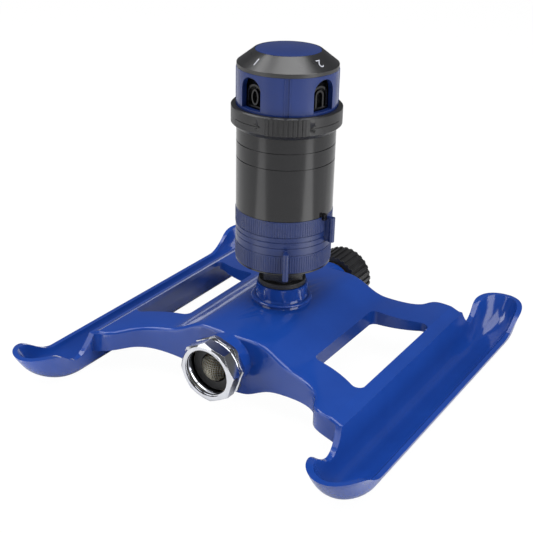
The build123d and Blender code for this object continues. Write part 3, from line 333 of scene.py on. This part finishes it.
def lathe(profile: Sequence[tuple[float, float]], segments: int, name: str) -> Mesh:
    """A closed (radius, height) outline turned about Z.

    Args:
        profile: The outline's points in mm, in order round a closed section.
        segments: How many steps the turn has.
        name: The mesh's name.

    Returns:
        The turned mesh.
    """
    def build(work: bmesh.types.BMesh) -> None:
        rings = []
        for step in range(segments):
            angle = 2 * math.pi * step / segments
            across, along = math.cos(angle) * MM, math.sin(angle) * MM
            rings.append([work.verts.new((r * across, r * along, z * MM)) for r, z in profile])
        for step in range(segments):
            here, there = rings[step], rings[(step + 1) % segments]
            for i in range(len(profile)):
                j = (i + 1) % len(profile)
                if profile[i][0] > 0 or profile[j][0] > 0:
                    work.faces.new((here[i], there[i], there[j], here[j]))
    return mesh_from(build, name)


def on_cylinder(azimuth: float, radius: float, height: float) -> Vector:
    """A point on a cylinder about Z, from degrees and mm to metres."""
    angle = math.radians(azimuth)
    return Vector((radius * math.sin(angle), -radius * math.cos(angle), height)) * MM


def evaluated_mesh(host: Object, name: str) -> Mesh:
    """The mesh that an object's modifiers give, as plain data."""
    bpy.context.view_layer.update()
    graph = bpy.context.evaluated_depsgraph_get()
    mesh = bpy.data.meshes.new_from_object(host.evaluated_get(graph))
    mesh.name = name
    return mesh


class NodeShape:
    """A Geometry Nodes tree with named inputs, run to give a plain mesh."""

    RIDGE_SIDES = 8
    THREAD_SIDES = 6
    THREAD_STEPS = 64
    WIRE_SIDES = 5

    def __init__(self, name: str) -> None:
        """Opens a tree with a geometry output and a material input.

        Args:
            name: The tree's name.
        """
        self.tree = bpy.data.node_groups.new(name, "GeometryNodeTree")
        self.graph = Graph(self.tree)
        self.inputs: dict[str, str] = {}
        self.tree.interface.new_socket(name="Shape", in_out="OUTPUT", socket_type="NodeSocketGeometry")
        self.declare("Finish", "NodeSocketMaterial")
        self.entry = self.graph.add("NodeGroupInput")
        self.exit = self.graph.add("NodeGroupOutput")

    def declare(self, name: str, kind: str = "NodeSocketFloat") -> None:
        """Adds a named input to the tree."""
        socket = self.tree.interface.new_socket(name=name, in_out="INPUT", socket_type=kind)
        self.inputs[name] = socket.identifier

    def value(self, name: str) -> Socket:
        """The output of the group's input node for a named input."""
        return self.entry.outputs[name]

    def round_bar(self, path: Socket, radius: str, sides: int) -> Socket:
        """Sweeps a round section along a curve.

        Args:
            path: The curve.
            radius: Name of the input that holds the section's radius.
            sides: Sides of the section.

        Returns:
            The bar's mesh, with closed ends.
        """
        outline = self.graph.add(
            "GeometryNodeCurvePrimitiveCircle", Resolution=sides, Radius=self.value(radius))
        return self.graph.add(
            "GeometryNodeCurveToMesh", Curve=path, Profile_Curve=outline.outputs[0],
            Fill_Caps=True).outputs[0]

    def close(self, geometry: Socket) -> None:
        """Ends the tree: instances are made real and get the finish."""
        real = self.graph.add("GeometryNodeRealizeInstances", Geometry=geometry)
        dressed = self.graph.add(
            "GeometryNodeSetMaterial", Geometry=real.outputs[0], Material=self.value("Finish"))
        self.tree.links.new(dressed.outputs[0], self.exit.inputs[0])

    def run(self, name: str, finish: Finish, **values: float) -> Object:
        """Runs the tree and keeps the result as a plain mesh.

        Args:
            name: The new object's name.
            finish: The material.
            **values: The named inputs, with _ for a space.

        Returns:
            The new object.
        """
        host = new_object(name + "_host", bpy.data.meshes.new(name + "_host"))
        modifier = host.modifiers.new("shape", "NODES")
        modifier.node_group = self.tree
        modifier[self.inputs["Finish"]] = finish.build()
        for key, number in values.items():
            modifier[self.inputs[key.replace("_", " ")]] = number
        mesh = evaluated_mesh(host, name)
        host.modifiers.remove(modifier)
        bpy.data.objects.remove(host)
        return new_object(name, mesh)


def ridge_band_tree() -> NodeShape:
    """Upright half-round ridges in a ring, as on a grip or an arc ring.

    Returns:
        A tree with the inputs Count, Radius, Ridge Radius, Low and High, in metres.
    """
    shape = NodeShape("ridge_band")
    shape.declare("Count", "NodeSocketInt")
    for name in ("Radius", "Ridge Radius", "Low", "High"):
        shape.declare(name)
    graph = shape.graph
    ring = graph.add(
        "GeometryNodeMeshCircle", Vertices=shape.value("Count"), Radius=shape.value("Radius"))
    start = graph.add("ShaderNodeCombineXYZ", Z=shape.value("Low"))
    end = graph.add("ShaderNodeCombineXYZ", Z=shape.value("High"))
    line = graph.add("GeometryNodeCurvePrimitiveLine", Start=start.outputs[0], End=end.outputs[0])
    ridge = shape.round_bar(line.outputs[0], "Ridge Radius", shape.RIDGE_SIDES)
    placed = graph.add("GeometryNodeInstanceOnPoints", Points=ring.outputs[0], Instance=ridge)
    shape.close(placed.outputs[0])
    return shape


def thread_tree() -> NodeShape:
    """A screw thread's ridge, wound about Z.

    Returns:
        A tree with the inputs Turns, Radius, Length and Ridge, in metres.
    """
    shape = NodeShape("thread_ridge")
    for name in ("Turns", "Radius", "Length", "Ridge"):
        shape.declare(name)
    radius = shape.value("Radius")
    spiral = shape.graph.add(
        "GeometryNodeCurveSpiral", Resolution=shape.THREAD_STEPS, Rotations=shape.value("Turns"),
        Start_Radius=radius, End_Radius=radius, Height=shape.value("Length"))
    shape.close(shape.round_bar(spiral.outputs[0], "Ridge", shape.THREAD_SIDES))
    return shape


def wire_dome_tree() -> NodeShape:
    """A domed net of crossing wires about Z, as a hose strainer has.

    Returns:
        A tree with the inputs Count, Reach, Ball, Base and Wire, in metres.
    """
    shape = NodeShape("wire_dome")
    shape.declare("Count", "NodeSocketInt")
    for name in ("Reach", "Ball", "Base", "Wire"):
        shape.declare(name)
    graph = shape.graph
    across = graph.maths("MULTIPLY", shape.value("Reach"), 2.0)
    net = graph.add(
        "GeometryNodeMeshGrid", Size_X=across, Size_Y=across, Vertices_X=shape.value("Count"),
        Vertices_Y=shape.value("Count"))
    place = graph.add("GeometryNodeInputPosition").outputs[0]
    parts = graph.add("ShaderNodeSeparateXYZ", Vector=place)
    span = graph.add("ShaderNodeVectorMath", {"operation": "LENGTH"}, i0=place).outputs["Value"]
    outside = graph.add(
        "FunctionNodeCompare", {"data_type": "FLOAT", "operation": "GREATER_THAN"}, i0=span,
        i1=shape.value("Reach")).outputs[0]
    kept = graph.add(
        "GeometryNodeDeleteGeometry", {"domain": "POINT"}, Geometry=net.outputs[0], Selection=outside)
    ball_square = graph.maths("POWER", shape.value("Ball"), 2.0)
    span_square = graph.maths("POWER", span, 2.0)
    rise = graph.maths("SQRT", graph.maths("SUBTRACT", ball_square, span_square))
    height = graph.maths("ADD", rise, shape.value("Base"))
    lifted = graph.add("ShaderNodeCombineXYZ", X=parts.outputs[0], Y=parts.outputs[1], Z=height)
    dome = graph.add("GeometryNodeSetPosition", Geometry=kept.outputs[0], Position=lifted.outputs[0])
    lines = graph.add("GeometryNodeMeshToCurve", i0=dome.outputs[0])
    outline = graph.add(
        "GeometryNodeCurvePrimitiveCircle", Resolution=shape.WIRE_SIDES, Radius=shape.value("Wire"))
    wires = graph.add("GeometryNodeCurveToMesh", Curve=lines.outputs[0], Profile_Curve=outline.outputs[0])
    shape.close(wires.outputs[0])
    return shape


@dataclass
class Assembly:
    """What every sub-assembly shares: the frame's nodes and the ways to dress them.

    Attributes:
        nodes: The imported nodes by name.
        made: How many pieces this sub-assembly has made.
    """

    nodes: dict[str, Object]
    made: int = 0

    def carry(self, piece: Object, body: Body, slot: Slot, finish: Finish | None = None) -> Object:
        """Gives a piece its finish and its body.

        Args:
            piece: The piece, in place.
            body: The body that it moves with.
            slot: The record's slot.
            finish: The finish, or None for the slot's own.

        Returns:
            The piece.
        """
        piece.data.materials.clear()
        piece.data.materials.append((finish or SLOT_FINISH[slot]).build())
        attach(piece, body.value)
        self.made += 1
        LOG.info("piece %s on %s, %d faces", piece.name, body.value, len(piece.data.polygons))
        return piece

    def smoothed(self, node: str) -> Object:
        """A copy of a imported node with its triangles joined, for finer shading.

        Args:
            node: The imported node's name.

        Returns:
            The copy, at the origin and without a material.
        """
        source = self.nodes[node].data
        work = bmesh.new()
        work.from_mesh(source)
        bmesh.ops.remove_doubles(work, verts=work.verts, dist=SKIN_WELD)
        bmesh.ops.dissolve_degenerate(work, edges=work.edges, dist=SLIVER)
        bmesh.ops.dissolve_limit(
            work, angle_limit=math.radians(FLAT_DEGREES), verts=work.verts, edges=work.edges)
        mesh = bpy.data.meshes.new(node + "_skin")
        work.to_mesh(mesh)
        work.free()
        smooth(mesh, SKIN_SHARP)
        return new_object(node + "_skin", mesh)

    def reskin(
            self, node: str, body: Body, slot: Slot, finish: Finish | None = None, *,
            edge: float) -> Object:
        """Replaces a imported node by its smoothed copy, with rounded edges.

        Args:
            node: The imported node's name.
            body: The body that it moves with.
            slot: The record's slot.
            finish: The finish, or None for the slot's own.
            edge: Width of the edge's round, in mm.

        Returns:
            The copy.
        """
        skin = self.smoothed(node)
        round_edges(skin, edge)
        self.carry(skin, body, slot, finish)
        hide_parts(node)
        return skin

    def paint_node(self, node: str, finish: Finish) -> None:
        """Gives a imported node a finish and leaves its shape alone."""
        target = self.nodes[node]
        target.data.materials.clear()
        target.data.materials.append(finish.build())
        LOG.info("node %s in %s", node, finish.name)


@dataclass
class SledBase(Assembly):
    """The painted casting, with the bead of paint round the foot of its boss.

    Attributes:
        bead_radius: Middle radius of the bead.
        bead_height: Height of the bead's middle.
        bead_width: Half width of the bead.
        bead_rise: Half height of the bead.
        bead_steps: Steps round the bead's section and round the boss.
        bead_waves: Height, count and start of each wave that makes the bead uneven.
    """

    bead_radius: float = 15.9
    bead_height: float = 42.9
    bead_width: float = 1.5
    bead_rise: float = 0.9
    bead_steps: tuple[int, int] = (14, 180)
    bead_waves: tuple[tuple[float, int, float], ...] = ((0.006, 7, 0.0), (0.004, 17, 1.0))

    def build(self) -> None:
        """Makes the casting's skin and the bead."""
        self.reskin("sled_base", Body.BASE, Slot.BLUE_PAINT, edge=0.7)
        self.carry(self.bead(), Body.BASE, Slot.BLUE_PAINT)

    def bead(self) -> Object:
        """The slightly uneven bead round the boss.

        Returns:
            The bead.
        """
        section_steps, turn_steps = self.bead_steps
        profile = []
        for i in range(section_steps):
            angle = 2 * math.pi * i / section_steps
            profile.append((
                self.bead_radius + self.bead_width * math.cos(angle),
                self.bead_height + self.bead_rise * math.sin(angle)))
        mesh = lathe(profile, turn_steps, "boss_bead")
        for vertex in mesh.vertices:
            turn = math.atan2(vertex.co.y, vertex.co.x)
            wave = 1 + sum(
                height * math.sin(count * turn + start) for height, count, start in self.bead_waves)
            vertex.co.x *= wave
            vertex.co.y *= wave
        smooth(mesh, SOFT_SHARP)
        return new_object("boss_bead", mesh)


@dataclass
class HoseInlet(Assembly):
    """The chromed hose nut with its thread, washer and wire strainer.

    Attributes:
        axis_height: Height of the hose axis.
        thread_radius: Radius that the thread's ridge is centred on.
        thread_ridge: Radius of the ridge's section.
        thread_start: Distance of the first turn from the turret's axis.
        thread_length: Length of the thread.
        thread_pitch: Pitch of a garden hose thread.
        strainer_reach: Radius of the strainer's net.
        strainer_ball: Radius of the ball that the net is a cap of.
        strainer_top: Distance of the net's crown from the turret's axis.
        wires: Wires each way.
        wire: Radius of a wire.
    """

    axis_height: float = 26.3
    thread_radius: float = 13.75
    thread_ridge: float = 0.85
    thread_start: float = 68.5
    thread_length: float = 4.1
    thread_pitch: float = 2.209
    strainer_reach: float = 7.85
    strainer_ball: float = 8.7
    strainer_top: float = 70.3
    wires: int = 15
    wire: float = 0.19

    def build(self) -> None:
        """Makes the nut, its thread, the washer and the net."""
        self.reskin("swivel_nut", Body.HOSE_NUT, Slot.CHROME, edge=0.3)
        self.reskin("inlet_washer", Body.BASE, Slot.RUBBER, edge=0.4)
        self.paint_node("inlet_tail", BRASS)
        self.carry(self.thread(), Body.HOSE_NUT, Slot.CHROME)
        net = self.carry(self.net(), Body.BASE, Slot.MESH)
        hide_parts("inlet_strainer")

    def towards_hose(self, piece: Object, distance: float) -> Object:
        """Lays a piece made about Z along the hose axis, facing the hose.

        Args:
            piece: The piece.
            distance: Where its origin goes, from the turret's axis.

        Returns:
            The piece, with its place in its mesh.
        """
        place = Matrix.Translation(Vector((0, -distance, self.axis_height)) * MM)
        piece.data.transform(place @ Matrix.Rotation(math.radians(90), 4, "X"))
        return piece

    def thread(self) -> Object:
        """The nut's inner thread."""
        ridge = thread_tree().run(
            "nut_thread", CHROME, Turns=self.thread_length / self.thread_pitch,
            Radius=self.thread_radius * MM, Length=self.thread_length * MM, Ridge=self.thread_ridge * MM)
        smooth(ridge.data, RIDGE_SHARP)
        return self.towards_hose(ridge, self.thread_start)

    def net(self) -> Object:
        """The strainer's domed net."""
        net = wire_dome_tree().run(
            "strainer_net", WIRE, Count=self.wires, Reach=self.strainer_reach * MM,
            Ball=self.strainer_ball * MM, Base=-self.strainer_ball * MM, Wire=self.wire * MM)
        smooth(net.data, SOFT_SHARP)
        return self.towards_hose(net, self.strainer_top)


@dataclass
class RearOutlet(Assembly):
    """The ribbed closing cap and what it closes."""

    def build(self) -> None:
        """Makes the cap's skin and finishes the hidden pieces."""
        self.reskin("outlet_cap", Body.CLOSING_CAP, Slot.BLACK_PLASTIC, BLACK_SATIN, edge=0.3)
        self.paint_node("outlet_nipple", BRASS)
        self.paint_node("cap_washer", RUBBER)


@dataclass
class ArcRings(Assembly):
    """The stem and the two ribbed rings that set the arc.

    Attributes:
        ridge_count: Ridges round each ring.
        ring_radius: Radius that the ridges are centred on.
        ridge_radius: Radius of one ridge.
        lower_band: Lowest and highest point of the lower ring's ridges.
        upper_band: Lowest and highest point of the upper ring's ridges.
    """

    ridge_count: int = 124
    ring_radius: float = 26.45
    ridge_radius: float = 0.38
    lower_band: tuple[float, float] = (68.9, 77.6)
    upper_band: tuple[float, float] = (89.3, 97.4)

    def build(self) -> None:
        """Makes the rings' skins and their ridges."""
        self.reskin("stem_gasket", Body.BASE, Slot.RUBBER, edge=0.4)
        self.reskin("stator_stem", Body.BASE, Slot.BLACK_PLASTIC, edge=0.3)
        self.reskin("lower_arc_ring", Body.LOWER_RING, Slot.NAVY_PLASTIC, edge=0.2)
        self.reskin("upper_arc_ring", Body.UPPER_RING, Slot.NAVY_PLASTIC, edge=0.2)
        tree = ridge_band_tree()
        for name, body, band in (
                ("lower_ring_ridges", Body.LOWER_RING, self.lower_band),
                ("upper_ring_ridges", Body.UPPER_RING, self.upper_band)):
            ridges = tree.run(
                name, NAVY_PLASTIC, Count=self.ridge_count, Radius=self.ring_radius * MM,
                Ridge_Radius=self.ridge_radius * MM, Low=band[0] * MM, High=band[1] * MM)
            smooth(ridges.data, RIDGE_SHARP)
            self.carry(ridges, body, Slot.NAVY_PLASTIC)


@dataclass
class GearHousing(Assembly):
    """The black cylinder between the arc rings and the range ring."""

    def build(self) -> None:
        """Makes the cylinder's skin."""
        self.reskin("gear_housing", Body.ROTOR, Slot.BLACK_PLASTIC, edge=0.15)


@dataclass
class RangeRing(Assembly):
    """The gripped ring under the head, with engraved arrows.

    Attributes:
        radius: Outer radius of the ring.
        depth: Depth of the engraving.
        stroke: Half width of an engraved line.
        level: Height of the arrows.
        left_span: Azimuths of the tail and the head of the arrow left of the grip.
        right_span: Azimuths of the tail and the head of the arrow right of it.
        barb: Length of a barb along the arrow, and its reach to each side.
        overshoot: How far the cutting blocks reach out past the ring's face.
        steps: Steps along a cutting block.
    """

    radius: float = 29.55
    depth: float = 0.35
    stroke: float = 0.17
    level: float = 149.8
    left_span: tuple[float, float] = (-32.0, 5.5)
    right_span: tuple[float, float] = (97.0, 55.5)
    barb: tuple[float, float] = (3.4, 1.35)
    overshoot: float = 1.0
    steps: int = 12

    def build(self) -> None:
        """Makes the ring's skin and cuts the arrows into it."""
        skin = self.smoothed("range_ring")
        before = len(skin.data.vertices)
        cutters = self.arrows()
        for cutter in cutters:
            cut = skin.modifiers.new(cutter.name, "BOOLEAN")
            cut.operation = "DIFFERENCE"
            cut.solver = "EXACT"
            cut.object = cutter
        mesh = evaluated_mesh(skin, "range_ring_skin")
        if len(mesh.vertices) <= before:
            raise RuntimeError("the arrows were not cut into the range ring")
        skin.modifiers.clear()
        skin.data = mesh
        for cutter in cutters:
            bpy.data.objects.remove(cutter)
        smooth(mesh, SKIN_SHARP)
        self.carry(skin, Body.DISTANCE_RING, Slot.BLACK_PLASTIC, BLACK_SATIN)
        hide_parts("range_ring")

    def stroke_prism(self, name: str, start: tuple[float, float], end: tuple[float, float]) -> Object:
        """One engraved line as a thin bent block.

        Args:
            name: The block's name.
            start: (azimuth, height) of the line's start.
            end: (azimuth, height) of its end.

        Returns:
            The block, which reaches out past the ring's face.
        """
        along = math.radians(end[0] - start[0]) * self.radius
        rise = end[1] - start[1]
        length = math.hypot(along, rise)
        side_turn = math.degrees(-rise / length * self.stroke / self.radius)
        side_rise = along / length * self.stroke
        deep, high = self.radius - self.depth, self.radius + self.overshoot

        def build(work: bmesh.types.BMesh) -> None:
            rings = []
            for i in range(self.steps + 1):
                share = i / self.steps
                azimuth = start[0] + (end[0] - start[0]) * share
                height = start[1] + rise * share
                corners_here = ((deep, -1), (deep, 1), (high, 1), (high, -1))
                rings.append([
                    work.verts.new(
                        on_cylinder(azimuth + sign * side_turn, radius, height + sign * side_rise))
                    for radius, sign in corners_here])
            for here, there in zip(rings, rings[1:]):
                for i in range(4):
                    j = (i + 1) % 4
                    work.faces.new((here[i], here[j], there[j], there[i]))
            work.faces.new(rings[0][::-1])
            work.faces.new(rings[-1])
        return new_object(name, mesh_from(build, name))

    def arrows(self) -> list[Object]:
        """The blocks that are cut out of the ring, three for each arrow.

        Returns:
            The cutters, for both grips' arrows.
        """
        blocks = []
        for turn in (0.0, 180.0):
            for tail, head in (self.left_span, self.right_span):
                back = math.copysign(math.degrees(self.barb[0] / self.radius), tail - head)
                tip = (head + turn, self.level)
                blocks.append(self.stroke_prism(f"line_{len(blocks)}", (tail + turn, self.level), tip))
                for side in (-1, 1):
                    start = (head + back + turn, self.level + side * self.barb[1])
                    blocks.append(self.stroke_prism(f"line_{len(blocks)}", start, tip))
        return blocks


@dataclass
class PatternHead(Assembly):
    """The blue barrel, its nozzles, the cone with its numbers and the crown.

    Attributes:
        nozzles: How many nozzles there are, each with a number and an index groove.
        number_azimuth: Azimuth of the first number.
        number_size: Height of a number.
        cone_low: (radius, height) of the cone's foot.
        cone_high: (radius, height) of the cone's top.
        ink_depth: Thickness of the ink.
        barrel_radius: Outer radius of the barrel.
        barrel_span: Lowest and highest point of the lines beside its index grooves.
        groove_azimuth: Azimuth of the first index groove.
        line_offset: How far each line stands from its groove's middle.
        line_radius: Radius of a line's round section.
        line_sides: Sides of that section.
    """

    nozzles: int = 4
    number_azimuth: float = -13.0
    number_size: float = 4.6
    cone_low: tuple[float, float] = (26.7, 177.2)
    cone_high: tuple[float, float] = (17.8, 184.0)
    ink_depth: float = 0.08
    barrel_radius: float = 26.7
    barrel_span: tuple[float, float] = (153.8, 174.9)
    groove_azimuth: float = 32.0
    line_offset: float = 1.3
    line_radius: float = 0.28
    line_sides: int = 10

    def build(self) -> None:
        """Makes the head's pieces."""
        self.reskin("pattern_head", Body.NOZZLE_HEAD, Slot.BLUE_PLASTIC, edge=0.3)
        self.reskin("nozzle_block", Body.NOZZLE_HEAD, Slot.BLACK_PLASTIC, edge=0.15)
        self.reskin("cone_cap", Body.NOZZLE_HEAD, Slot.BLACK_PLASTIC, BLACK_CONE, edge=0.35)
        self.reskin("crown_disc", Body.NOZZLE_HEAD, Slot.BLUE_PLASTIC, edge=0.4)
        for index in range(self.nozzles):
            self.carry(self.number(index), Body.NOZZLE_HEAD, Slot.CHROME, INK)
        self.carry(self.index_lines(), Body.NOZZLE_HEAD, Slot.BLUE_PLASTIC)

    def index_lines(self) -> Object:
        """The raised line on each side of every index groove.

        Returns:
            All the lines as one mesh.
        """
        low, high = self.barrel_span
        side = math.degrees(self.line_offset / self.barrel_radius)

        def build(work: bmesh.types.BMesh) -> None:
            for index in range(self.nozzles):
                for sign in (-1, 1):
                    azimuth = self.groove_azimuth + 360 * index / self.nozzles + sign * side
                    made = bmesh.ops.create_cone(
                        work, cap_ends=True, segments=self.line_sides, radius1=self.line_radius * MM,
                        radius2=self.line_radius * MM, depth=(high - low) * MM)
                    middle = on_cylinder(azimuth, self.barrel_radius, (low + high) / 2)
                    bmesh.ops.translate(work, verts=made["verts"], vec=middle)
        mesh = mesh_from(build, "index_lines")
        smooth(mesh, RIDGE_SHARP)
        return new_object("index_lines", mesh)

    def number(self, index: int) -> Object:
        """One printed number on the cone, read from across the head.

        Args:
            index: Which of the numbers, from 0.

        Returns:
            The number as a thin mesh on the cone.
        """
        text = bpy.data.curves.new(f"number_{index + 1}", "FONT")
        text.body = str(index + 1)
        text.size = self.number_size * MM / DIGIT_SHARE
        text.extrude = self.ink_depth * MM
        text.align_x = "CENTER"
        text.align_y = "CENTER"
        host = new_object(f"number_{index + 1}_text", text)
        mesh = evaluated_mesh(host, f"number_{index + 1}")
        bpy.data.objects.remove(host)
        low_radius, low_height = self.cone_low
        high_radius, high_height = self.cone_high
        slope = math.atan2(high_height - low_height, low_radius - high_radius)
        middle = Vector((0, -(low_radius + high_radius) / 2, (low_height + high_height) / 2)) * MM
        upright = Matrix.Rotation(slope, 4, "X") @ Matrix.Rotation(math.pi, 4, "Z")
        azimuth = self.number_azimuth + 360 * index / self.nozzles
        turn = Matrix.Rotation(math.radians(azimuth), 4, "Z")
        mesh.transform(turn @ Matrix.Translation(middle) @ upright)
        return new_object(f"number_{index + 1}", mesh)


@dataclass
class Mechanism(Assembly):
    """The pieces inside the turret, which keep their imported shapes.

    Attributes:
        finishes: The finish of each inner node.
    """

    finishes: dict[str, Finish] = field(default_factory=lambda: {
        "stator_drum": BLACK_PLASTIC, "inlet_screen": WIRE, "jet_plate": ACETAL, "diverter": ACETAL,
        "turbine_wheel": ACETAL, "turbine_shaft": STEEL, "turbine_pinion": ACETAL, "shaft_bush": BRASS,
        "gear_first": ACETAL, "gear_second": ACETAL, "gear_last": ACETAL, "gear_pins": STEEL,
        "gear_plate": ACETAL, "king_pin": STEEL, "king_clip": STEEL, "bearing_washer": ACETAL,
        "ring_gear": ACETAL, "outlet_spigot": BLACK_PLASTIC, "selector_spacer": ACETAL,
        "selector_disc": ACETAL, "head_clip": STEEL})

    def build(self) -> None:
        """Finishes each inner node."""
        for node, finish in self.finishes.items():
            self.paint_node(node, finish)


def area_lamp(name: str, width: float, height: float, power: float) -> Object:
    """Adds a rectangular area lamp to the scene.

    Args:
        name: The lamp's name.
        width: Its width, in metres.
        height: Its height, in metres.
        power: Its power, in watts.

    Returns:
        The lamp, at the origin.
    """
    light = bpy.data.lights.new(name, "AREA")
    light.shape = "RECTANGLE"
    light.size = width
    light.size_y = height
    light.energy = power
    return new_object(name, light)


@dataclass
class Lamp:
    """A soft panel that faces the turret.

    Attributes:
        name: The lamp's name.
        azimuth: Where it stands, in degrees from -Y towards +X.
        elevation: How high it stands, in degrees.
        distance: How far it stands, in metres.
        width: Width of the panel, in metres.
        height: Height of the panel, in metres.
        power: Its power, in watts.
    """

    name: str
    azimuth: float
    elevation: float
    distance: float
    width: float
    height: float
    power: float

    def build(self, aim: Vector) -> None:
        """Hangs the panel.

        Args:
            aim: The point that it faces.
        """
        lamp = area_lamp(self.name, self.width, self.height, self.power)
        turn, lift = math.radians(self.azimuth), math.radians(self.elevation)
        level = math.cos(lift)
        out = Vector((math.sin(turn) * level, -math.cos(turn) * level, math.sin(lift)))
        lamp.location = aim + out * self.distance
        lamp.rotation_euler = (-out).to_track_quat("-Z", "Y").to_euler()


@dataclass
class Card:
    """A glow that lies on the table, as from a white card there, for upright faces to reflect.

    Attributes:
        name: The lamp's name.
        azimuth: Where it lies, in degrees from -Y towards +X.
        near: Its near end, in metres from the turret's axis.
        far: Its far end, in metres.
        width: Its width, in metres.
        power: Its power, in watts.
    """

    name: str
    azimuth: float
    near: float
    far: float
    width: float
    power: float

    def build(self) -> None:
        """Lays the card on the table, facing up."""
        card = area_lamp(self.name, self.width, self.far - self.near, self.power)
        card.visible_camera = False
        turn = math.radians(self.azimuth)
        middle = (self.near + self.far) / 2
        card.location = (middle * math.sin(turn), -middle * math.cos(turn), MM)
        card.rotation_euler = (math.pi, 0.0, turn)


@dataclass
class Studio:
    """The camera, the lamps and the floor.

    Attributes:
        camera_place: The camera's place, in mm.
        yaw: How far the camera looks to the left of +Y, in degrees.
        pitch: How far it looks down, in degrees.
        roll: How far it is rolled, in degrees.
        focal: Focal length for a 36 mm sensor, in mm.
        shift: The lens shift across and up.
        aim_height: Height of the point on the turret that the panels face.
        floor_size: Half the side of the floor, in metres.
        floor_cells: Cells along the floor's side.
        floor_grey: The floor's own colour.
        floor_glow: Brightness of the white that the camera sees in the floor.
        glow_share: How much of that white the camera sees.
        ambient: Colour of the light from all round.
        ambient_strength: Strength of that light.
        lamps: The soft panels.
        cards: The cards on the table.
    """

    camera_place: tuple[float, float, float] = (270.76, -435.14, 302.89)
    yaw: float = 32.426
    pitch: float = 25.222
    roll: float = 1.376
    focal: float = 67.733
    shift: tuple[float, float] = (-0.01413, -0.00432)
    aim_height: float = 80.0
    floor_size: float = 6.0
    floor_cells: int = 8
    floor_grey: float = 0.82
    floor_glow: float = 1.03
    glow_share: float = 0.95
    ambient: Colour = (0.94, 0.96, 1.0)
    ambient_strength: float = 0.14
    lamps: tuple[Lamp, ...] = (
        Lamp("left_panel", -34.0, 24.0, 1.1, 0.6, 1.0, 3.4),
        Lamp("high_left", -67.0, 52.0, 1.1, 0.5, 0.5, 4.2),
        Lamp("right_panel", 86.0, 24.0, 1.1, 0.6, 1.0, 7.0),
        Lamp("top_panel", 62.0, 78.0, 1.2, 1.1, 1.1, 13.2),
    )
    cards: tuple[Card, ...] = (
        Card("left_card", -22.0, 0.15, 0.50, 0.12, 0.20),
        Card("right_card", 87.0, 0.15, 0.50, 0.12, 0.32),
    )

    def build(self) -> None:
        """Sets up the scene round the object."""
        aim = Vector((0, 0, self.aim_height)) * MM
        for lamp in self.lamps:
            lamp.build(aim)
        for card in self.cards:
            card.build()
        self.camera()
        self.world()
        self.floor()
        bpy.context.scene.view_settings.view_transform = "Standard"

    def camera(self) -> None:
        """Makes the camera at the photograph's viewpoint."""
        data = bpy.data.cameras.new("view")
        data.sensor_width = 36.0
        data.lens = self.focal
        data.shift_x, data.shift_y = self.shift
        data.clip_start = 0.01
        camera = new_object("view", data)
        camera.matrix_world = (
            Matrix.Translation(Vector(self.camera_place) * MM)
            @ Matrix.Rotation(math.radians(self.yaw), 4, "Z")
            @ Matrix.Rotation(math.radians(90 - self.pitch), 4, "X")
            @ Matrix.Rotation(math.radians(self.roll), 4, "Z"))
        bpy.context.scene.camera = camera

    def world(self) -> None:
        """A white background over a soft grey light."""
        world = bpy.data.worlds.new("studio")
        bpy.context.scene.world = world
        world.use_nodes = True
        graph = Graph(world.node_tree)
        path = graph.add("ShaderNodeLightPath")
        seen = graph.maths(
            "MAXIMUM", path.outputs["Is Camera Ray"], path.outputs["Is Transmission Ray"])
        light = graph.add(
            "ShaderNodeBackground", Color=(*self.ambient, 1.0), Strength=self.ambient_strength)
        white = graph.add("ShaderNodeBackground", Color=(1.0, 1.0, 1.0, 1.0), Strength=1.0)
        mixed = graph.add("ShaderNodeMixShader", i0=seen, i1=light.outputs[0], i2=white.outputs[0])
        graph.add("ShaderNodeOutputWorld", Surface=mixed.outputs[0])

    def floor(self) -> None:
        """A pale floor that shows a faint shadow and melts into the background."""
        def build(work: bmesh.types.BMesh) -> None:
            bmesh.ops.create_grid(
                work, x_segments=self.floor_cells, y_segments=self.floor_cells, size=self.floor_size)
        plate = new_object("floor", mesh_from(build, "floor"))
        material = bpy.data.materials.new("pale_floor")
        material.use_nodes = True
        graph = Graph(material.node_tree)
        path = graph.add("ShaderNodeLightPath")
        grey = self.floor_grey
        shade = graph.add("ShaderNodeBsdfDiffuse", Color=(grey, grey, grey, 1.0))
        glow = graph.add("ShaderNodeEmission", Color=(1.0, 1.0, 1.0, 1.0), Strength=self.floor_glow)
        share = graph.maths("MULTIPLY", path.outputs["Is Camera Ray"], self.glow_share)
        mixed = graph.add("ShaderNodeMixShader", i0=share, i1=shade.outputs[0], i2=glow.outputs[0])
        graph.add("ShaderNodeOutputMaterial", Surface=mixed.outputs[0])
        plate.data.materials.append(material)


def main() -> None:
    """Builds the classes in order and reports each piece."""
    logging.basicConfig(level=logging.INFO, format="%(name)s: %(message)s")
    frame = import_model()
    nodes = frame["nodes"]
    assemblies = (
        SledBase(nodes), HoseInlet(nodes), RearOutlet(nodes), ArcRings(nodes), GearHousing(nodes),
        RangeRing(nodes), PatternHead(nodes), Mechanism(nodes))
    for assembly in assemblies:
        assembly.build()
        LOG.info("%s made %d pieces", type(assembly).__name__, assembly.made)
    Studio().build()


if __name__ == "__main__":
    main()
